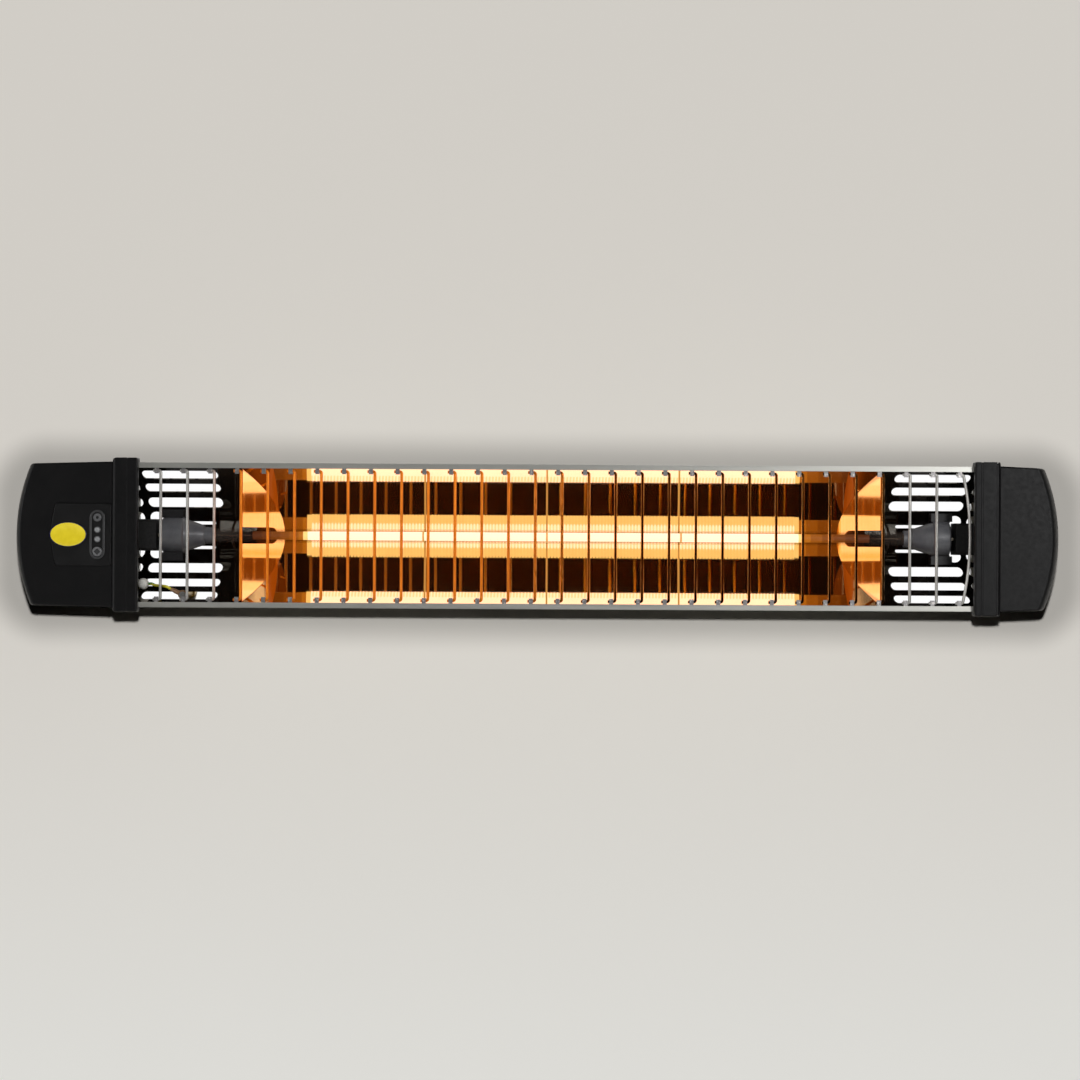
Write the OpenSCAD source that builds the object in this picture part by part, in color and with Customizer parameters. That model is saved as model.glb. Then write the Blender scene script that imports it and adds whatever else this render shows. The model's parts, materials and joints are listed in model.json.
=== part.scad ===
// Wall-mounted infrared bar heater on a tilting bracket.
// X runs along the heater, the front faces -Y and Z is up.
// The wall is the plane y = 0, and the lamp and the tilt axis lie at z = 0.

/* [Housing] */
// Height of the housing over its two lips
body_h = 108; // [96:1:136]
// Depth of the housing from its lips to its flat back
body_d = 72; // [60:1:90]
// Length of the opening between the two collars
opening_l = 623; // [500:1:900]
// Wall of the housing
wall_t = 1.8; // [1.2:0.1:2.4]
// Height of each front lip
lip_h = 3.9; // [3:0.1:6]
// Half height of the flat back
back_half = 26; // [20:1:34]
// Depth at which the straight sides turn into the rounded back
shoulder_d = 26; // [20:1:34]
// Length of housing inside each collar
collar_lap = 15.5; // [10:0.5:20]
// Room from the wall to the flat back
wall_gap = 54; // [46:1:80]

/* [Reflector] */
// Sheet of the reflector and of its end shields
mirror_t = 0.8; // [0.5:0.1:1.2]
// Room between the reflector's floor and the housing's back
floor_gap = 16; // [12:1:24]
// Width of the rim flange behind each lip
flange_w = 1.9; // [1.5:0.1:3]
// Length of a vent slot
slot_l = 57; // [30:1:90]
// Length of a short slot under the collar
short_slot_l = 9; // [8:0.5:9.5]
// Web between the two slots of a row
slot_web = 4; // [3:0.5:8]
// Distance from the middle to the rim of the left shield
left_shield_x = 235; // [180:1:240]
// Distance from the middle to the rim of the right shield
right_shield_x = 243; // [180:1:245]
// How far a shield leans towards the middle at its foot
shield_lean = 27; // [10:1:40]
// Room round the lamp in the notch of a shield
notch_gap = 0.9; // [0.7:0.1:3]

/* [Guard] */
// Diameter of a guard wire
wire_d = 2.2; // [1.6:0.1:2.6]
// Pitch of the guard wires
wire_pitch = 20; // [14:0.5:30]
// Sideways place of the row of wires
wire_shift = 4.4; // [0:0.1:6]
// Sideways bow of the last wire
wire_bow = 5; // [2:0.5:6]
// Thickness of a guard strip
strip_t = 1.2; // [0.8:0.1:1.6]
// Width of a wire tab
tab_w = 3; // [2:0.1:5]

/* [Lamp] */
// Diameter of the quartz tube
tube_d = 10.6; // [9:0.1:11.4]
// Wall of the quartz tube
tube_t = 1; // [0.8:0.1:1.5]
// Room between the lamp's axis and the reflector's floor
lamp_gap = 15.7; // [15.5:0.1:20]
// Length of the heating coil left of the middle
coil_left_l = 189; // [120:1:200]
// Length of the heating coil right of the middle
coil_right_l = 185; // [120:1:200]
// Room between the heating coil and the quartz tube
coil_room = 0.9; // [0.5:0.1:2]
// Diameter of the ceramic barrel
barrel_d = 27.7; // [24:0.1:28]
// Length of the left ceramic barrel
left_barrel_l = 16; // [10:0.5:18]
// Length of the right ceramic barrel
right_barrel_l = 12; // [10:0.5:18]
// Length of the ceramic cone
cone_l = 16; // [12:0.5:20]
// Length of the ceramic neck
neck_l = 6.8; // [5:0.1:10]
// Height of the holder's cradle
cradle_h = 39; // [34:0.5:44]
// Width of the holder's cradle
cradle_w = 16; // [12:0.5:20]
// Side of the square lead boot
boot_w = 24; // [18:0.5:24]

/* [End caps] */
// Width of a collar
collar_w = 19; // [17.5:0.5:30]
// How far a collar stands out from the housing
collar_t = 3.5; // [3:0.1:6]
// How far a collar stands in front of the lips
collar_proud = 6; // [4.5:0.1:9]
// Length of the left cap beyond its collar
left_cap_l = 75.5; // [72:0.5:120]
// Length of the right cap beyond its collar
right_cap_l = 49.5; // [40:0.5:120]
// How far a cap stands in front of the lips
cap_proud = 3.5; // [3.2:0.1:6]
// Wall of a cap
cap_t = 2.6; // [2:0.1:3.5]
// Front wall of a cap
face_t = 3; // [2.8:0.1:4]
// Bulge of a cap's outer side
cap_bulge = 13; // [6:0.5:20]
// Drop of a cap's height from its collar to its corner
cap_drop = 2; // [0:0.5:4]
// Thickness of a housing end plate
plate_t = 1.2; // [0.8:0.1:2]
// Thickness of a cap gasket
gasket_t = 1.5; // [1:0.1:3]

/* [Controls] */
// Height of the control cover
cover_h = 46.5; // [40:0.5:60]
// Length of the control cover
cover_l = 44.5; // [44:0.5:48]
// Thickness of the control cover
cover_t = 1.6; // [1.2:0.1:2]
// Length of the badge
badge_l = 27.7; // [20:0.1:28]
// Height of the badge
badge_h = 18.4; // [12:0.1:24]
// Height of the keypad bezel
bezel_h = 36.8; // [34:0.2:40]
// Width of the keypad bezel
bezel_w = 11.4; // [11:0.1:13]
// Width of the bezel's band
band_w = 1.7; // [1.2:0.1:2]
// Diameter of the power button
button_d = 7.2; // [5:0.1:7.4]
// Travel of the power button
button_travel = 0.8; // [0.4:0.1:1.2]
// Diameter of a status light
led_d = 4.9; // [3:0.1:5.2]
// Depth from the lips to the control board
board_depth = 12; // [11:0.5:18]

/* [Cable inlet] */
// Diameter of the hole that the supply cable passes through
cable_hole_d = 9.5; // [7:0.5:10]
// Width of the gland's hexagon across its flats
gland_af = 24; // [22:1:27]
// Diameter of the gland's thread
gland_thread_d = 18; // [16:0.5:19]

/* [Mounting] */
// Distance from the wall to the tilt axis
pivot_y = 40; // [36:1:50]
// Outer width of the wall bracket
yoke_w = 146; // [100:1:240]
// Height of the wall plate
yoke_h = 72; // [60:1:90]
// Thickness of both brackets
bracket_t = 3; // [2:0.5:4]
// Radius of the brackets' round ears
ear_r = 11; // [9:0.5:12]
// Diameter of a pivot bolt
bolt_d = 6; // [5:0.5:8]
// Distance between the wall holes along the heater
hole_pitch_x = 100; // [70:1:120]
// Distance between the wall holes up the wall
hole_pitch_z = 50; // [40:1:60]
// Diameter of a wall hole
wall_hole_d = 6.5; // [5:0.5:9]

/* [Hidden] */

$fn = 48;
// Extra length of a cutting shape past the face that it cuts
over = 1;
// Gap between two still pieces
seat_gap = 0.2;
// Gap between a pin or wire and its bore
pin_gap = 0.05;
// Gap between two pieces that move past each other
move_gap = 0.3;

// Housing
body_half = body_h / 2;
lip_y = -(wall_gap + body_d);
opening_half = opening_l / 2;
housing_half_l = opening_half + collar_lap;
curve_steps = 9;

// Reflector
inner_half = body_half - wall_t;
rim_half = inner_half - seat_gap - flange_w;
rim_d = wall_t + strip_t + seat_gap / 2 + mirror_t;
floor_d = body_d - floor_gap;
parabola_k = rim_half * rim_half / (floor_d - rim_d);
parabola_steps = 14;
reflector_half_l = housing_half_l - seat_gap;
slot_end_x = opening_half - seat_gap;
short_slot_x = slot_end_x + slot_web;
slot_place_shares = [0.258, 0.494, 0.712, 0.9];
slot_height_shares = [0.196, 0.15, 0.122, 0.119];
rear_slot_start = 3.7;
rear_slot_margin = 0.75;
rear_slot_shift = 1.1;
notch_w = tube_d + 2 * notch_gap;
shield_tab_w = 8;
shield_tab_z = 15;
shield_tab_out = 3;

// Guard
wire_r = wire_d / 2;
wire_count = floor(opening_l / wire_pitch);
wire_depth = wall_t + wire_r + seat_gap + pin_gap;
wire_room = 0.9;
wire_drop = wire_r + wire_room;
wire_half = rim_half - wire_drop;
tab_reach = 3;
tab_wall = 0.4;
tab_half = wire_r + tab_wall;
bend_r = tab_reach - tab_w / 2;
stub_l = tab_w + wire_r;
strip_low = rim_half + seat_gap / 2;
bow_steps = 6;
shield_front = wire_depth + tab_half + seat_gap;

// Lamp
tube_r = tube_d / 2;
coil_r = tube_r - tube_t - coil_room;
lamp_d = floor_d - lamp_gap;
holder_set_in = 11.9;
holder_end_x = opening_half - holder_set_in;
barrel_r = barrel_d / 2;
neck_wall = 0.7;
neck_r = tube_r + seat_gap + neck_wall;
cone_step = 1.2;
cone_r = neck_r + cone_step;
holder_chamfer = 1.2;
holder_wall = 3;
tube_lap = 10;
coil_support_l = 1.4;
coil_support_shares = [-0.27, -0.018, 0.255];
exhaust_x = 47;
exhaust_h = 3;
exhaust_r = 1.7;
exhaust_tip_r = 0.7;
inner_lead_r = 0.6;
lead_r = 1.2;
lead_hole_gap = 0.6;
left_neck_x = holder_end_x - left_barrel_l - cone_l - neck_l;
right_neck_x = holder_end_x - right_barrel_l - cone_l - neck_l;
tube_left_x = left_neck_x + tube_lap;
tube_right_x = right_neck_x + tube_lap;
boot_gap = 3.6;
boot_x = holder_end_x + boot_gap;
boot_chamfer = 2;
cradle_front = 5;
cradle_foot_l = 13;
cradle_foot_w = 13;
cradle_foot_t = 1.5;
cradle_screw_r = 1.5;
cradle_screw_head_r = 2.6;
cradle_screw_head_h = 1.4;
cradle_nut_r = 3;
cradle_nut_h = 2.4;
return_drop = 13.4;
return_z = return_drop - body_half;
return_overhang = 13;
return_turn_x = housing_half_l + return_overhang;

// End caps
plate_x = housing_half_l;
gasket_x = plate_x + plate_t;
cap_x = gasket_x + gasket_t;
collar_x = opening_half;
collar_step = 11;
collar_back_x = collar_x + collar_step;
collar_back_share = 0.56;
collar_back_d = collar_back_share * body_d;
box_grow = 0.5;
cap_screw_d = 20;
cap_screw_x = collar_x + collar_w / 2;
cap_screw_r = 1.6;
cap_screw_head_r = 3;
cap_screw_head_h = 1.6;
cap_screw_l = 9;
gasket_band = 4;

// Controls
cover_gap = 0.35;
ledge_w = 1.8;
cover_margin = 1;
cover_right_x = collar_x + collar_w + cover_margin;
cover_front = -cap_proud;
cover_back = cover_front + cover_t;
badge_set_in = 31.8;
badge_x = cover_right_x + badge_set_in;
badge_rim_h = 0.9;
badge_top_h = 0.5;
badge_top_share = 0.86;
badge_steps = 40;
bezel_set_in = 10.1;
bezel_x = cover_right_x + bezel_set_in;
bezel_up = 0.7;
sensor_z = (bezel_h - bezel_w) / 2;
sensor_r = 3.1;
sensor_hole_r = 1.1;
sensor_up = 0.5;
led_zs = [3.5, -3.5];
led_r = led_d / 2;
led_up = 0.7;
led_stem_r = 1.4;
button_z = -sensor_z;
button_r = button_d / 2;
button_up = 1;
button_flange_w = 0.9;
button_flange_r = button_r + button_flange_w;
button_flange_t = 0.8;
button_stem_r = 1.5;
key_cup_r = 1.9;
key_cup_d = 0.5;
board_t = 1.6;
board_l = 44;
board_h = 66;
board_set_in = 25;
board_x = cover_right_x + board_set_in;
boss_r = 3;
board_screw_r = 1.3;
board_screw_head_r = 2.4;
board_screw_head_h = 1.8;
board_screw_l = 6;
board_inset = 3.4;
switch_w = 6;
switch_h = 4.2;
plunger_r = 1.7;
plunger_h = 0.8;
receiver_w = 7;
receiver_h = 6;
chip_led_w = 2.4;
chip_led_h = 0.8;
relay_size = [19, 15.5, 15];
relay_z = 16;
can_r = 6.5;
can_h = 14;
can_z = -14;
block_l = 22;
block_h = 16;
block_set_in = 21;
block_x = cap_x + block_set_in;
block_reach = 6.4;
block_front = lamp_d - block_reach;
block_t = 13;
block_screw_r = 2.2;
block_screw_h = 1;

// Cable inlet
gland_margin = 25;
gland_x = collar_x + collar_w + left_cap_l - gland_margin;
gland_flange_t = 5;
gland_neck_l = 10;
thread_depth = 1;
gland_core_r = gland_thread_d / 2 - thread_depth;
gland_bore_r = 6.4;
gland_inside_l = 9;
gland_nut_r = gland_af / 2;
gland_nut_l = 14;
gland_nut_lip = 2.4;
locknut_t = 4;
box_back_d = body_d + box_grow;

// Earth
earth_set_in = 32;
earth_drop = 5.5;
earth_x = earth_set_in - opening_half;
earth_z = earth_drop - rim_half;
earth_d = 7.6;
post_r = 2.2;
post_foot_r = 3.4;
post_foot_t = 1.5;
ring_r = 3.4;
ring_t = 0.8;
ring_hole_r = 1.7;
barrel_wire_l = 6;
barrel_wire_r = 1.5;
earth_screw_r = 1.5;
earth_head_r = 2.3;
earth_head_h = 1.5;
earth_wire_r = 1.1;
earth_lean = 25;
bush_r = 4.3;
bush_steps = 12;
bush_set_in = 0.6;
bush_d = 18.6;
bush_drop = 13.2;
bush_at = [bush_set_in - opening_half, bush_d, bush_drop - rim_half];

// Mounting
bolt_r = bolt_d / 2;
bolt_head_h = 4;
bolt_head_share = 0.96;
bolt_head_r = bolt_head_share * bolt_d;
bolt_nut_h = 5;
bolt_l = 18;
washer_t = 1;
washer_r = bolt_d;
yoke_ear_x = yoke_w / 2 - bracket_t;
tilt_ear_x = yoke_ear_x - move_gap - washer_t - bracket_t;
yoke_ear_h = 24;
tilt_plate_h = 40;
tilt_ear_h = 17;
tilt_screw_inset = 18;
tilt_screw_x = tilt_ear_x - tilt_screw_inset;
tilt_screw_z = 12;
tilt_screw_r = 2;
tilt_screw_head_r = 3.6;
tilt_screw_head_h = 2.4;
tilt_screw_l = 9;
window_w = 44;
window_h = 30;
window_r = 6;

// Parabola depth at a height from the lamp's axis
function parabola(u) = floor_d - u * u / parabola_k;

// Point on the reflector's face at a height, moved off the face by a thickness
function mirror_point(u, t) =
    let (slope = 2 * u / parabola_k, n = sqrt(1 + slope * slope))
    [parabola(u) + t / n, u + t * slope / n];

function mirror_curve(t) =
    [for (i = [-parabola_steps:parabola_steps]) mirror_point(rim_half * i / parabola_steps, t)];

// Outline of the flange that turns outwards from one rim
function rim_flange(row) = [
    [rim_d - mirror_t, row * rim_half],
    [rim_d - mirror_t, row * (rim_half + flange_w)],
    [rim_d + mirror_t / 2, row * (rim_half + flange_w)],
    [rim_d + mirror_t / 2, row * (rim_half + mirror_t)]
];

function reversed(list) = [for (i = [len(list) - 1:-1:0]) list[i]];

// Housing outline in the Y-Z plane, grown outwards, from a front depth round the back
function body_outline(grow, front) =
    let (half = body_half + grow, rz = half - back_half, ry = body_d + grow - shoulder_d)
    concat(
        [[front, -half]],
        [for (i = [0:curve_steps]) let (a = 90 * i / curve_steps)
            [shoulder_d + ry * sin(a), -back_half - rz * cos(a)]],
        [for (i = [curve_steps:-1:0]) let (a = 90 * i / curve_steps)
            [shoulder_d + ry * sin(a), back_half + rz * cos(a)]],
        [[front, half]]
    );

function unit(v) = v / norm(v);

// Tangents and one side direction for each point of a path
function path_tangents(p) =
    [for (i = [0:len(p) - 1]) unit(p[min(i + 1, len(p) - 1)] - p[max(i - 1, 0)])];

function carry_side(t, i, side, done) =
    i == len(t) ? done :
    let (s = unit(side - (side * t[i]) * t[i]))
    carry_side(t, i + 1, s, concat(done, [s]));

// Ring of points round one point of a path
function path_ring(at, t, s, r, sides) =
    let (b = cross(t, s))
    [for (k = [0:sides - 1]) let (a = 360 * k / sides) at + r * (cos(a) * s + sin(a) * b)];

// Smooth curve through the points of a route
function smooth_route(p, steps) =
    concat(
        [for (i = [0:len(p) - 2], j = [0:steps - 1])
            let (
                a = p[max(i - 1, 0)], b = p[i], c = p[i + 1], d = p[min(i + 2, len(p) - 1)],
                s = j / steps
            )
            (2 * b + (c - a) * s + (2 * a - 5 * b + 4 * c - d) * s * s
                + (3 * b - a - 3 * c + d) * s * s * s) / 2],
        [p[len(p) - 1]]
    );

// Everything on the heater is placed by its depth behind the lips
module on_heater() {
    translate([0, lip_y, 0]) children();
}

// Extrudes an outline of the Y-Z plane along X
module along_x(x, l) {
    translate([x, 0, 0]) rotate([90, 0, 90]) linear_extrude(l) children();
}

// Extrudes an outline of the X-Z plane along Y
module along_y(y, l) {
    translate([0, y + l, 0]) rotate([90, 0, 0]) linear_extrude(l) children();
}

// Cylinder along Y from a depth
module peg(x, z, depth, l, r) {
    translate([x, depth, z]) rotate([-90, 0, 0]) cylinder(h = l, r = r);
}

// Cylinder along X from a place
module rod_x(x, l, depth, z, r) {
    translate([x, depth, z]) rotate([0, 90, 0]) cylinder(h = l, r = r);
}

module hexagon(af) {
    circle(r = af / 2 / cos(30), $fn = 6);
}

// Round bar along a route
module wire_along(p, r, sides) {
    t = path_tangents(p);
    start = abs(t[0][2]) < abs(t[0][0]) ? [0, 0, 1] : [1, 0, 0];
    s = carry_side(t, 0, start, []);
    rings = [for (i = [0:len(p) - 1]) path_ring(p[i], t[i], s[i], r, sides)];
    last = (len(p) - 1) * sides;
    polyhedron(
        points = [for (ring = rings, q = ring) q],
        faces = concat(
            [[for (k = [0:sides - 1]) k]],
            [[for (k = [sides - 1:-1:0]) last + k]],
            [for (i = [0:len(p) - 2], k = [0:sides - 1])
                [i * sides + k, (i + 1) * sides + k, (i + 1) * sides + (k + 1) % sides]],
            [for (i = [0:len(p) - 2], k = [0:sides - 1])
                [i * sides + k, (i + 1) * sides + (k + 1) % sides, i * sides + (k + 1) % sides]]
        )
    );
}

// Slot with round ends in the X-Z plane
module stadium(l, h) {
    square([l - h, h], center = true);
    translate([(h - l) / 2, 0]) circle(d = h);
    translate([(l - h) / 2, 0]) circle(d = h);
}

// One mirrored set of slots, cut straight back from a front depth
module slot_set(start_x, l, margin, shift, front, depth) {
    for (i = [0:len(slot_place_shares) - 1]) {
        place = slot_place_shares[i];
        last = slot_place_shares[len(slot_place_shares) - 1];
        z = rim_half * place + shift * pow(place / last, 2);
        h = rim_half * slot_height_shares[i] + 2 * margin;
        for (side = [-1, 1], row = [-1, 1]) {
            translate([side * (start_x + l / 2), 0, row * z])
                along_y(front, depth) stadium(l, h);
        }
    }
}

// Flat shield plate that leans along a line from its rim to its foot
module lean_plate(x, side, from_d, to_d, height, thick) {
    run = floor_d - rim_d;
    slope = shield_lean / run;
    translate([0, 0, -height / 2]) linear_extrude(height) polygon([
        [side * (x - slope * (from_d - rim_d)), from_d],
        [side * (x - slope * (to_d - rim_d)), to_d],
        [side * (x + thick - slope * (to_d - rim_d)), to_d],
        [side * (x + thick - slope * (from_d - rim_d)), from_d]
    ]);
}

// Tabs of a shield where they pass through the reflector
module shield_tabs(x, side, gap) {
    foot = parabola(shield_tab_z);
    for (row = [-1, 1]) {
        translate([side * -gap / 2, 0, row * shield_tab_z])
            lean_plate(x, side, foot - 2 * over, foot + shield_tab_out + gap * over,
                shield_tab_w + gap, mirror_t + gap);
    }
}

module housing() {
    color("silver") on_heater() difference() {
        along_x(-housing_half_l, 2 * housing_half_l) difference() {
            polygon(body_outline(0, 0));
            polygon(body_outline(-wall_t, wall_t));
            translate([-over, -body_half + lip_h])
                square([wall_t + 2 * over, body_h - 2 * lip_h]);
        }
        difference() {
            slot_set(slot_end_x - slot_l - rear_slot_start, slot_l + rear_slot_start + collar_back_x
                - slot_end_x, rear_slot_margin, rear_slot_shift, shoulder_d, body_d);
            translate([earth_x - post_foot_r, 0, earth_z - 2 * post_foot_r])
                cube([2 * post_foot_r, body_d + over, 3 * post_foot_r]);
        }
        for (side = [-1, 1], row = [0, 1]) {
            mirror([0, 0, row]) translate([side * cap_screw_x, cap_screw_d, inner_half - over])
                cylinder(h = wall_t + 2 * over, r = cap_screw_r + pin_gap);
        }
        for (side = [-1, 1], row = [-1, 1]) {
            peg(side * tilt_screw_x, row * tilt_screw_z, body_d - wall_t - over, wall_t + 2 * over,
                tilt_screw_r + pin_gap);
        }
    }
}

module reflector() {
    color("gainsboro") on_heater() difference() {
        along_x(-reflector_half_l, 2 * reflector_half_l) polygon(concat(
            mirror_curve(0),
            rim_flange(1),
            [for (i = [2 * parabola_steps - 1:-1:1]) mirror_curve(mirror_t)[i]],
            reversed(rim_flange(-1))
        ));
        slot_set(slot_end_x - slot_l, slot_l, 0, 0, 0, body_d);
        slot_set(short_slot_x, short_slot_l, 0, 0, 0, body_d);
        shield_tabs(left_shield_x, -1, 2 * seat_gap);
        shield_tabs(right_shield_x, 1, 2 * seat_gap);
        for (side = [-1, 1]) {
            peg(side * cradle_screw_x(side), 0, floor_d - over, mirror_t + 2 * over,
                cradle_screw_r + pin_gap);
        }
    }
}

function side_barrel(side) = side < 0 ? left_barrel_l : right_barrel_l;
function cradle_x(side) = holder_end_x - side_barrel(side) / 2 - cradle_w / 2;
function cradle_screw_x(side) = cradle_x(side) - cradle_foot_l / 2;

module end_shield(x, side) {
    on_heater() difference() {
        union() {
            intersection() {
                lean_plate(x, side, shield_front, floor_d, 2 * rim_half, mirror_t);
                along_x(-opening_half, opening_l) polygon(mirror_curve(-seat_gap));
            }
            shield_tabs(x, side, 0);
        }
        rod_x(-opening_half, opening_l, lamp_d, 0, notch_w / 2);
        translate([-opening_half, -over, -notch_w / 2])
            cube([opening_l, lamp_d + over, notch_w]);
    }
}

module left_end_shield() {
    color("lightgray") end_shield(left_shield_x, -1);
}

module right_end_shield() {
    color("lightgray") end_shield(right_shield_x, 1);
}

function wire_x(i) = wire_shift + wire_pitch * (i - (wire_count - 1) / 2);

// Strip behind the upper lip with one drilled tab for each wire
module guard_strip() {
    tab_low = wire_half - tab_half - wire_r / 2;
    tab_top = wire_half + tab_half - pin_gap * 4;
    tab_back = wire_depth + tab_half;
    translate([-reflector_half_l, wall_t, strip_low])
        cube([2 * reflector_half_l, strip_t, inner_half - seat_gap - strip_low]);
    for (i = [0:wire_count - 1]) {
        x = wire_x(i) - tab_reach - tab_w / 2;
        difference() {
            union() {
                translate([x, wall_t, tab_top - over])
                    cube([tab_w, strip_t, strip_low - tab_top + 2 * over]);
                translate([x, wall_t, tab_low]) cube([tab_w, tab_back - wall_t, tab_top - tab_low]);
            }
            rod_x(x - over, tab_w + 2 * over, wire_depth, wire_half, wire_r + pin_gap);
        }
    }
}

module upper_guard_strip() {
    color("darkgray") on_heater() guard_strip();
}

module lower_guard_strip() {
    color("darkgray") on_heater() mirror([0, 0, 1]) guard_strip();
}

// Quarter bend and stub at the top of a wire
module wire_hook() {
    translate([-bend_r, 0, 0]) rotate([90, 0, 0])
        rotate_extrude(angle = 90) translate([bend_r, 0]) circle(r = wire_r);
    rod_x(-bend_r - stub_l, stub_l, 0, bend_r, wire_r);
}

module straight_wire() {
    half = wire_half - bend_r;
    translate([0, 0, -half]) cylinder(h = 2 * half, r = wire_r);
    for (row = [0, 1]) {
        mirror([0, 0, row]) translate([0, 0, half]) wire_hook();
    }
}

// Last wire, bowed sideways between its two hooks
module bowed_wire() {
    half = wire_half - bend_r;
    hook = concat(
        [[-bend_r - stub_l, 0, wire_half]],
        [for (a = [90:-30:0]) [bend_r * (cos(a) - 1), 0, half + bend_r * sin(a)]]
    );
    bow = [for (i = [bow_steps - 1:-1:1 - bow_steps])
        [wire_bow * (1 - pow(i / bow_steps, 2)), 0, half * i / bow_steps]];
    foot = [for (p = reversed(hook)) [p[0], 0, -p[2]]];
    wire_along(concat(hook, bow, foot), wire_r, 10);
}

module guard_wires() {
    color("lightslategray") on_heater() for (i = [0:wire_count - 1]) {
        translate([wire_x(i), wire_depth, 0]) {
            if (i < wire_count - 1) {
                straight_wire();
            } else {
                bowed_wire();
            }
        }
    }
}

module quartz_tube() {
    l = tube_left_x + tube_right_x;
    color("lightcyan") on_heater() difference() {
        union() {
            rod_x(-tube_left_x, l, lamp_d, 0, tube_r);
            translate([exhaust_x, lamp_d, tube_r - tube_t / 2])
                cylinder(h = exhaust_h + tube_t / 2, r1 = exhaust_r, r2 = exhaust_tip_r);
        }
        rod_x(-tube_left_x - over, l + 2 * over, lamp_d, 0, tube_r - tube_t);
    }
}

module heating_coil() {
    color("orange") on_heater()
        rod_x(-coil_left_l, coil_left_l + coil_right_l, lamp_d, 0, coil_r);
}

module coil_supports() {
    color("dimgray") on_heater() for (share = coil_support_shares) {
        x = share * (coil_left_l + coil_right_l) - coil_support_l / 2;
        difference() {
            rod_x(x, coil_support_l, lamp_d, 0, tube_r - tube_t - pin_gap);
            rod_x(x - over, coil_support_l + 2 * over, lamp_d, 0, coil_r + pin_gap);
        }
    }
}

// Seal plugs in the tube's ends with the straight wires that feed the coil
module coil_leads() {
    color("gray") on_heater() {
        rod_x(-tube_left_x, tube_lap, lamp_d, 0, tube_r - tube_t - pin_gap);
        rod_x(-tube_left_x + tube_lap - over, tube_left_x - tube_lap + over - coil_left_l, lamp_d, 0,
            inner_lead_r);
        rod_x(tube_right_x - tube_lap, tube_lap, lamp_d, 0, tube_r - tube_t - pin_gap);
        rod_x(coil_right_l, tube_right_x - tube_lap + over - coil_right_l, lamp_d, 0, inner_lead_r);
    }
}

// Ceramic bell from the neck, at z = 0, to its flat end
module lamp_holder(barrel_l) {
    total = neck_l + cone_l + barrel_l;
    bore_r = tube_r + seat_gap;
    rotate_extrude() polygon([
        [bore_r, 0],
        [neck_r, 0],
        [neck_r, neck_l],
        [cone_r, neck_l],
        [barrel_r - holder_chamfer, neck_l + cone_l - holder_chamfer],
        [barrel_r, neck_l + cone_l],
        [barrel_r, total - holder_chamfer],
        [barrel_r - holder_chamfer, total],
        [lead_r + seat_gap, total],
        [lead_r + seat_gap, total - holder_wall],
        [bore_r, total - holder_wall]
    ]);
}

module left_lamp_holder() {
    color("slategray") on_heater() translate([-left_neck_x, lamp_d, 0]) rotate([0, -90, 0])
        lamp_holder(left_barrel_l);
}

module right_lamp_holder() {
    color("slategray") on_heater() translate([right_neck_x, lamp_d, 0]) rotate([0, 90, 0])
        lamp_holder(right_barrel_l);
}

// Cradle under a ceramic barrel, with a foot under the cone
module holder_cradle(side) {
    x = cradle_x(side);
    foot_front = floor_d - seat_gap - cradle_foot_t;
    difference() {
        intersection() {
            union() {
                translate([x, lamp_d - cradle_front, -cradle_h / 2])
                    cube([cradle_w, floor_d, cradle_h]);
                translate([x - cradle_foot_l, foot_front, -cradle_foot_w / 2])
                    cube([cradle_foot_l + over, floor_d, cradle_foot_w]);
            }
            along_x(x - cradle_foot_l, cradle_foot_l + cradle_w) polygon(mirror_curve(-seat_gap));
        }
        rod_x(x - cradle_foot_l - over, cradle_w + cradle_foot_l + 2 * over, lamp_d, 0,
            barrel_r + seat_gap);
        peg(cradle_screw_x(side), 0, floor_d - 3 * over, 3 * over, cradle_screw_r + pin_gap);
    }
}

module left_holder_cradle() {
    color("darkslategray") on_heater() mirror([1, 0, 0]) holder_cradle(-1);
}

module right_holder_cradle() {
    color("darkslategray") on_heater() holder_cradle(1);
}

module cradle_screws() {
    foot_front = floor_d - seat_gap - cradle_foot_t;
    color("dimgray") on_heater() for (side = [-1, 1]) {
        x = side * cradle_screw_x(side);
        peg(x, 0, foot_front - cradle_screw_head_h, cradle_screw_head_h, cradle_screw_head_r);
        peg(x, 0, foot_front - cradle_screw_head_h / 2,
            cradle_foot_t + seat_gap + mirror_t + cradle_nut_h + cradle_screw_head_h / 2,
            cradle_screw_r);
        translate([x, 0, 0]) along_y(floor_d + mirror_t, cradle_nut_h)
            circle(r = cradle_nut_r, $fn = 6);
    }
}

module lead_boot() {
    half = boot_w / 2;
    inner = half - boot_chamfer;
    difference() {
        translate([0, lamp_d, 0]) along_x(boot_x, plate_x - seat_gap - boot_x) polygon([
            [-half, -inner], [-inner, -half], [inner, -half], [half, -inner],
            [half, inner], [inner, half], [-inner, half], [-half, inner]
        ]);
        rod_x(boot_x - over, plate_x - boot_x + 2 * over, lamp_d, 0, lead_r + seat_gap);
    }
}

module left_lead_boot() {
    color("black") on_heater() mirror([1, 0, 0]) lead_boot();
}

module right_lead_boot() {
    color("black") on_heater() lead_boot();
}

module left_lamp_lead() {
    start = holder_end_x - holder_wall;
    end = block_x - block_l / 2 - seat_gap;
    color("dimgray") on_heater() rod_x(-end, end - start, lamp_d, 0, lead_r);
}

// Lead of the lamp's right end, which runs back behind the reflector
module right_lamp_lead() {
    turn = 3 * lead_r;
    low = [
        [holder_end_x - holder_wall, lamp_d, 0],
        [return_turn_x - turn, lamp_d, 0],
        [return_turn_x, lamp_d, -turn],
        [return_turn_x, lamp_d, return_z + turn],
        [return_turn_x - turn, lamp_d, return_z],
        [-block_x + turn, lamp_d, return_z],
        [-block_x, lamp_d, return_z + turn],
        [-block_x, lamp_d, -block_h / 2 - seat_gap]
    ];
    color("dimgray") on_heater() wire_along(low, lead_r, 8);
}

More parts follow.
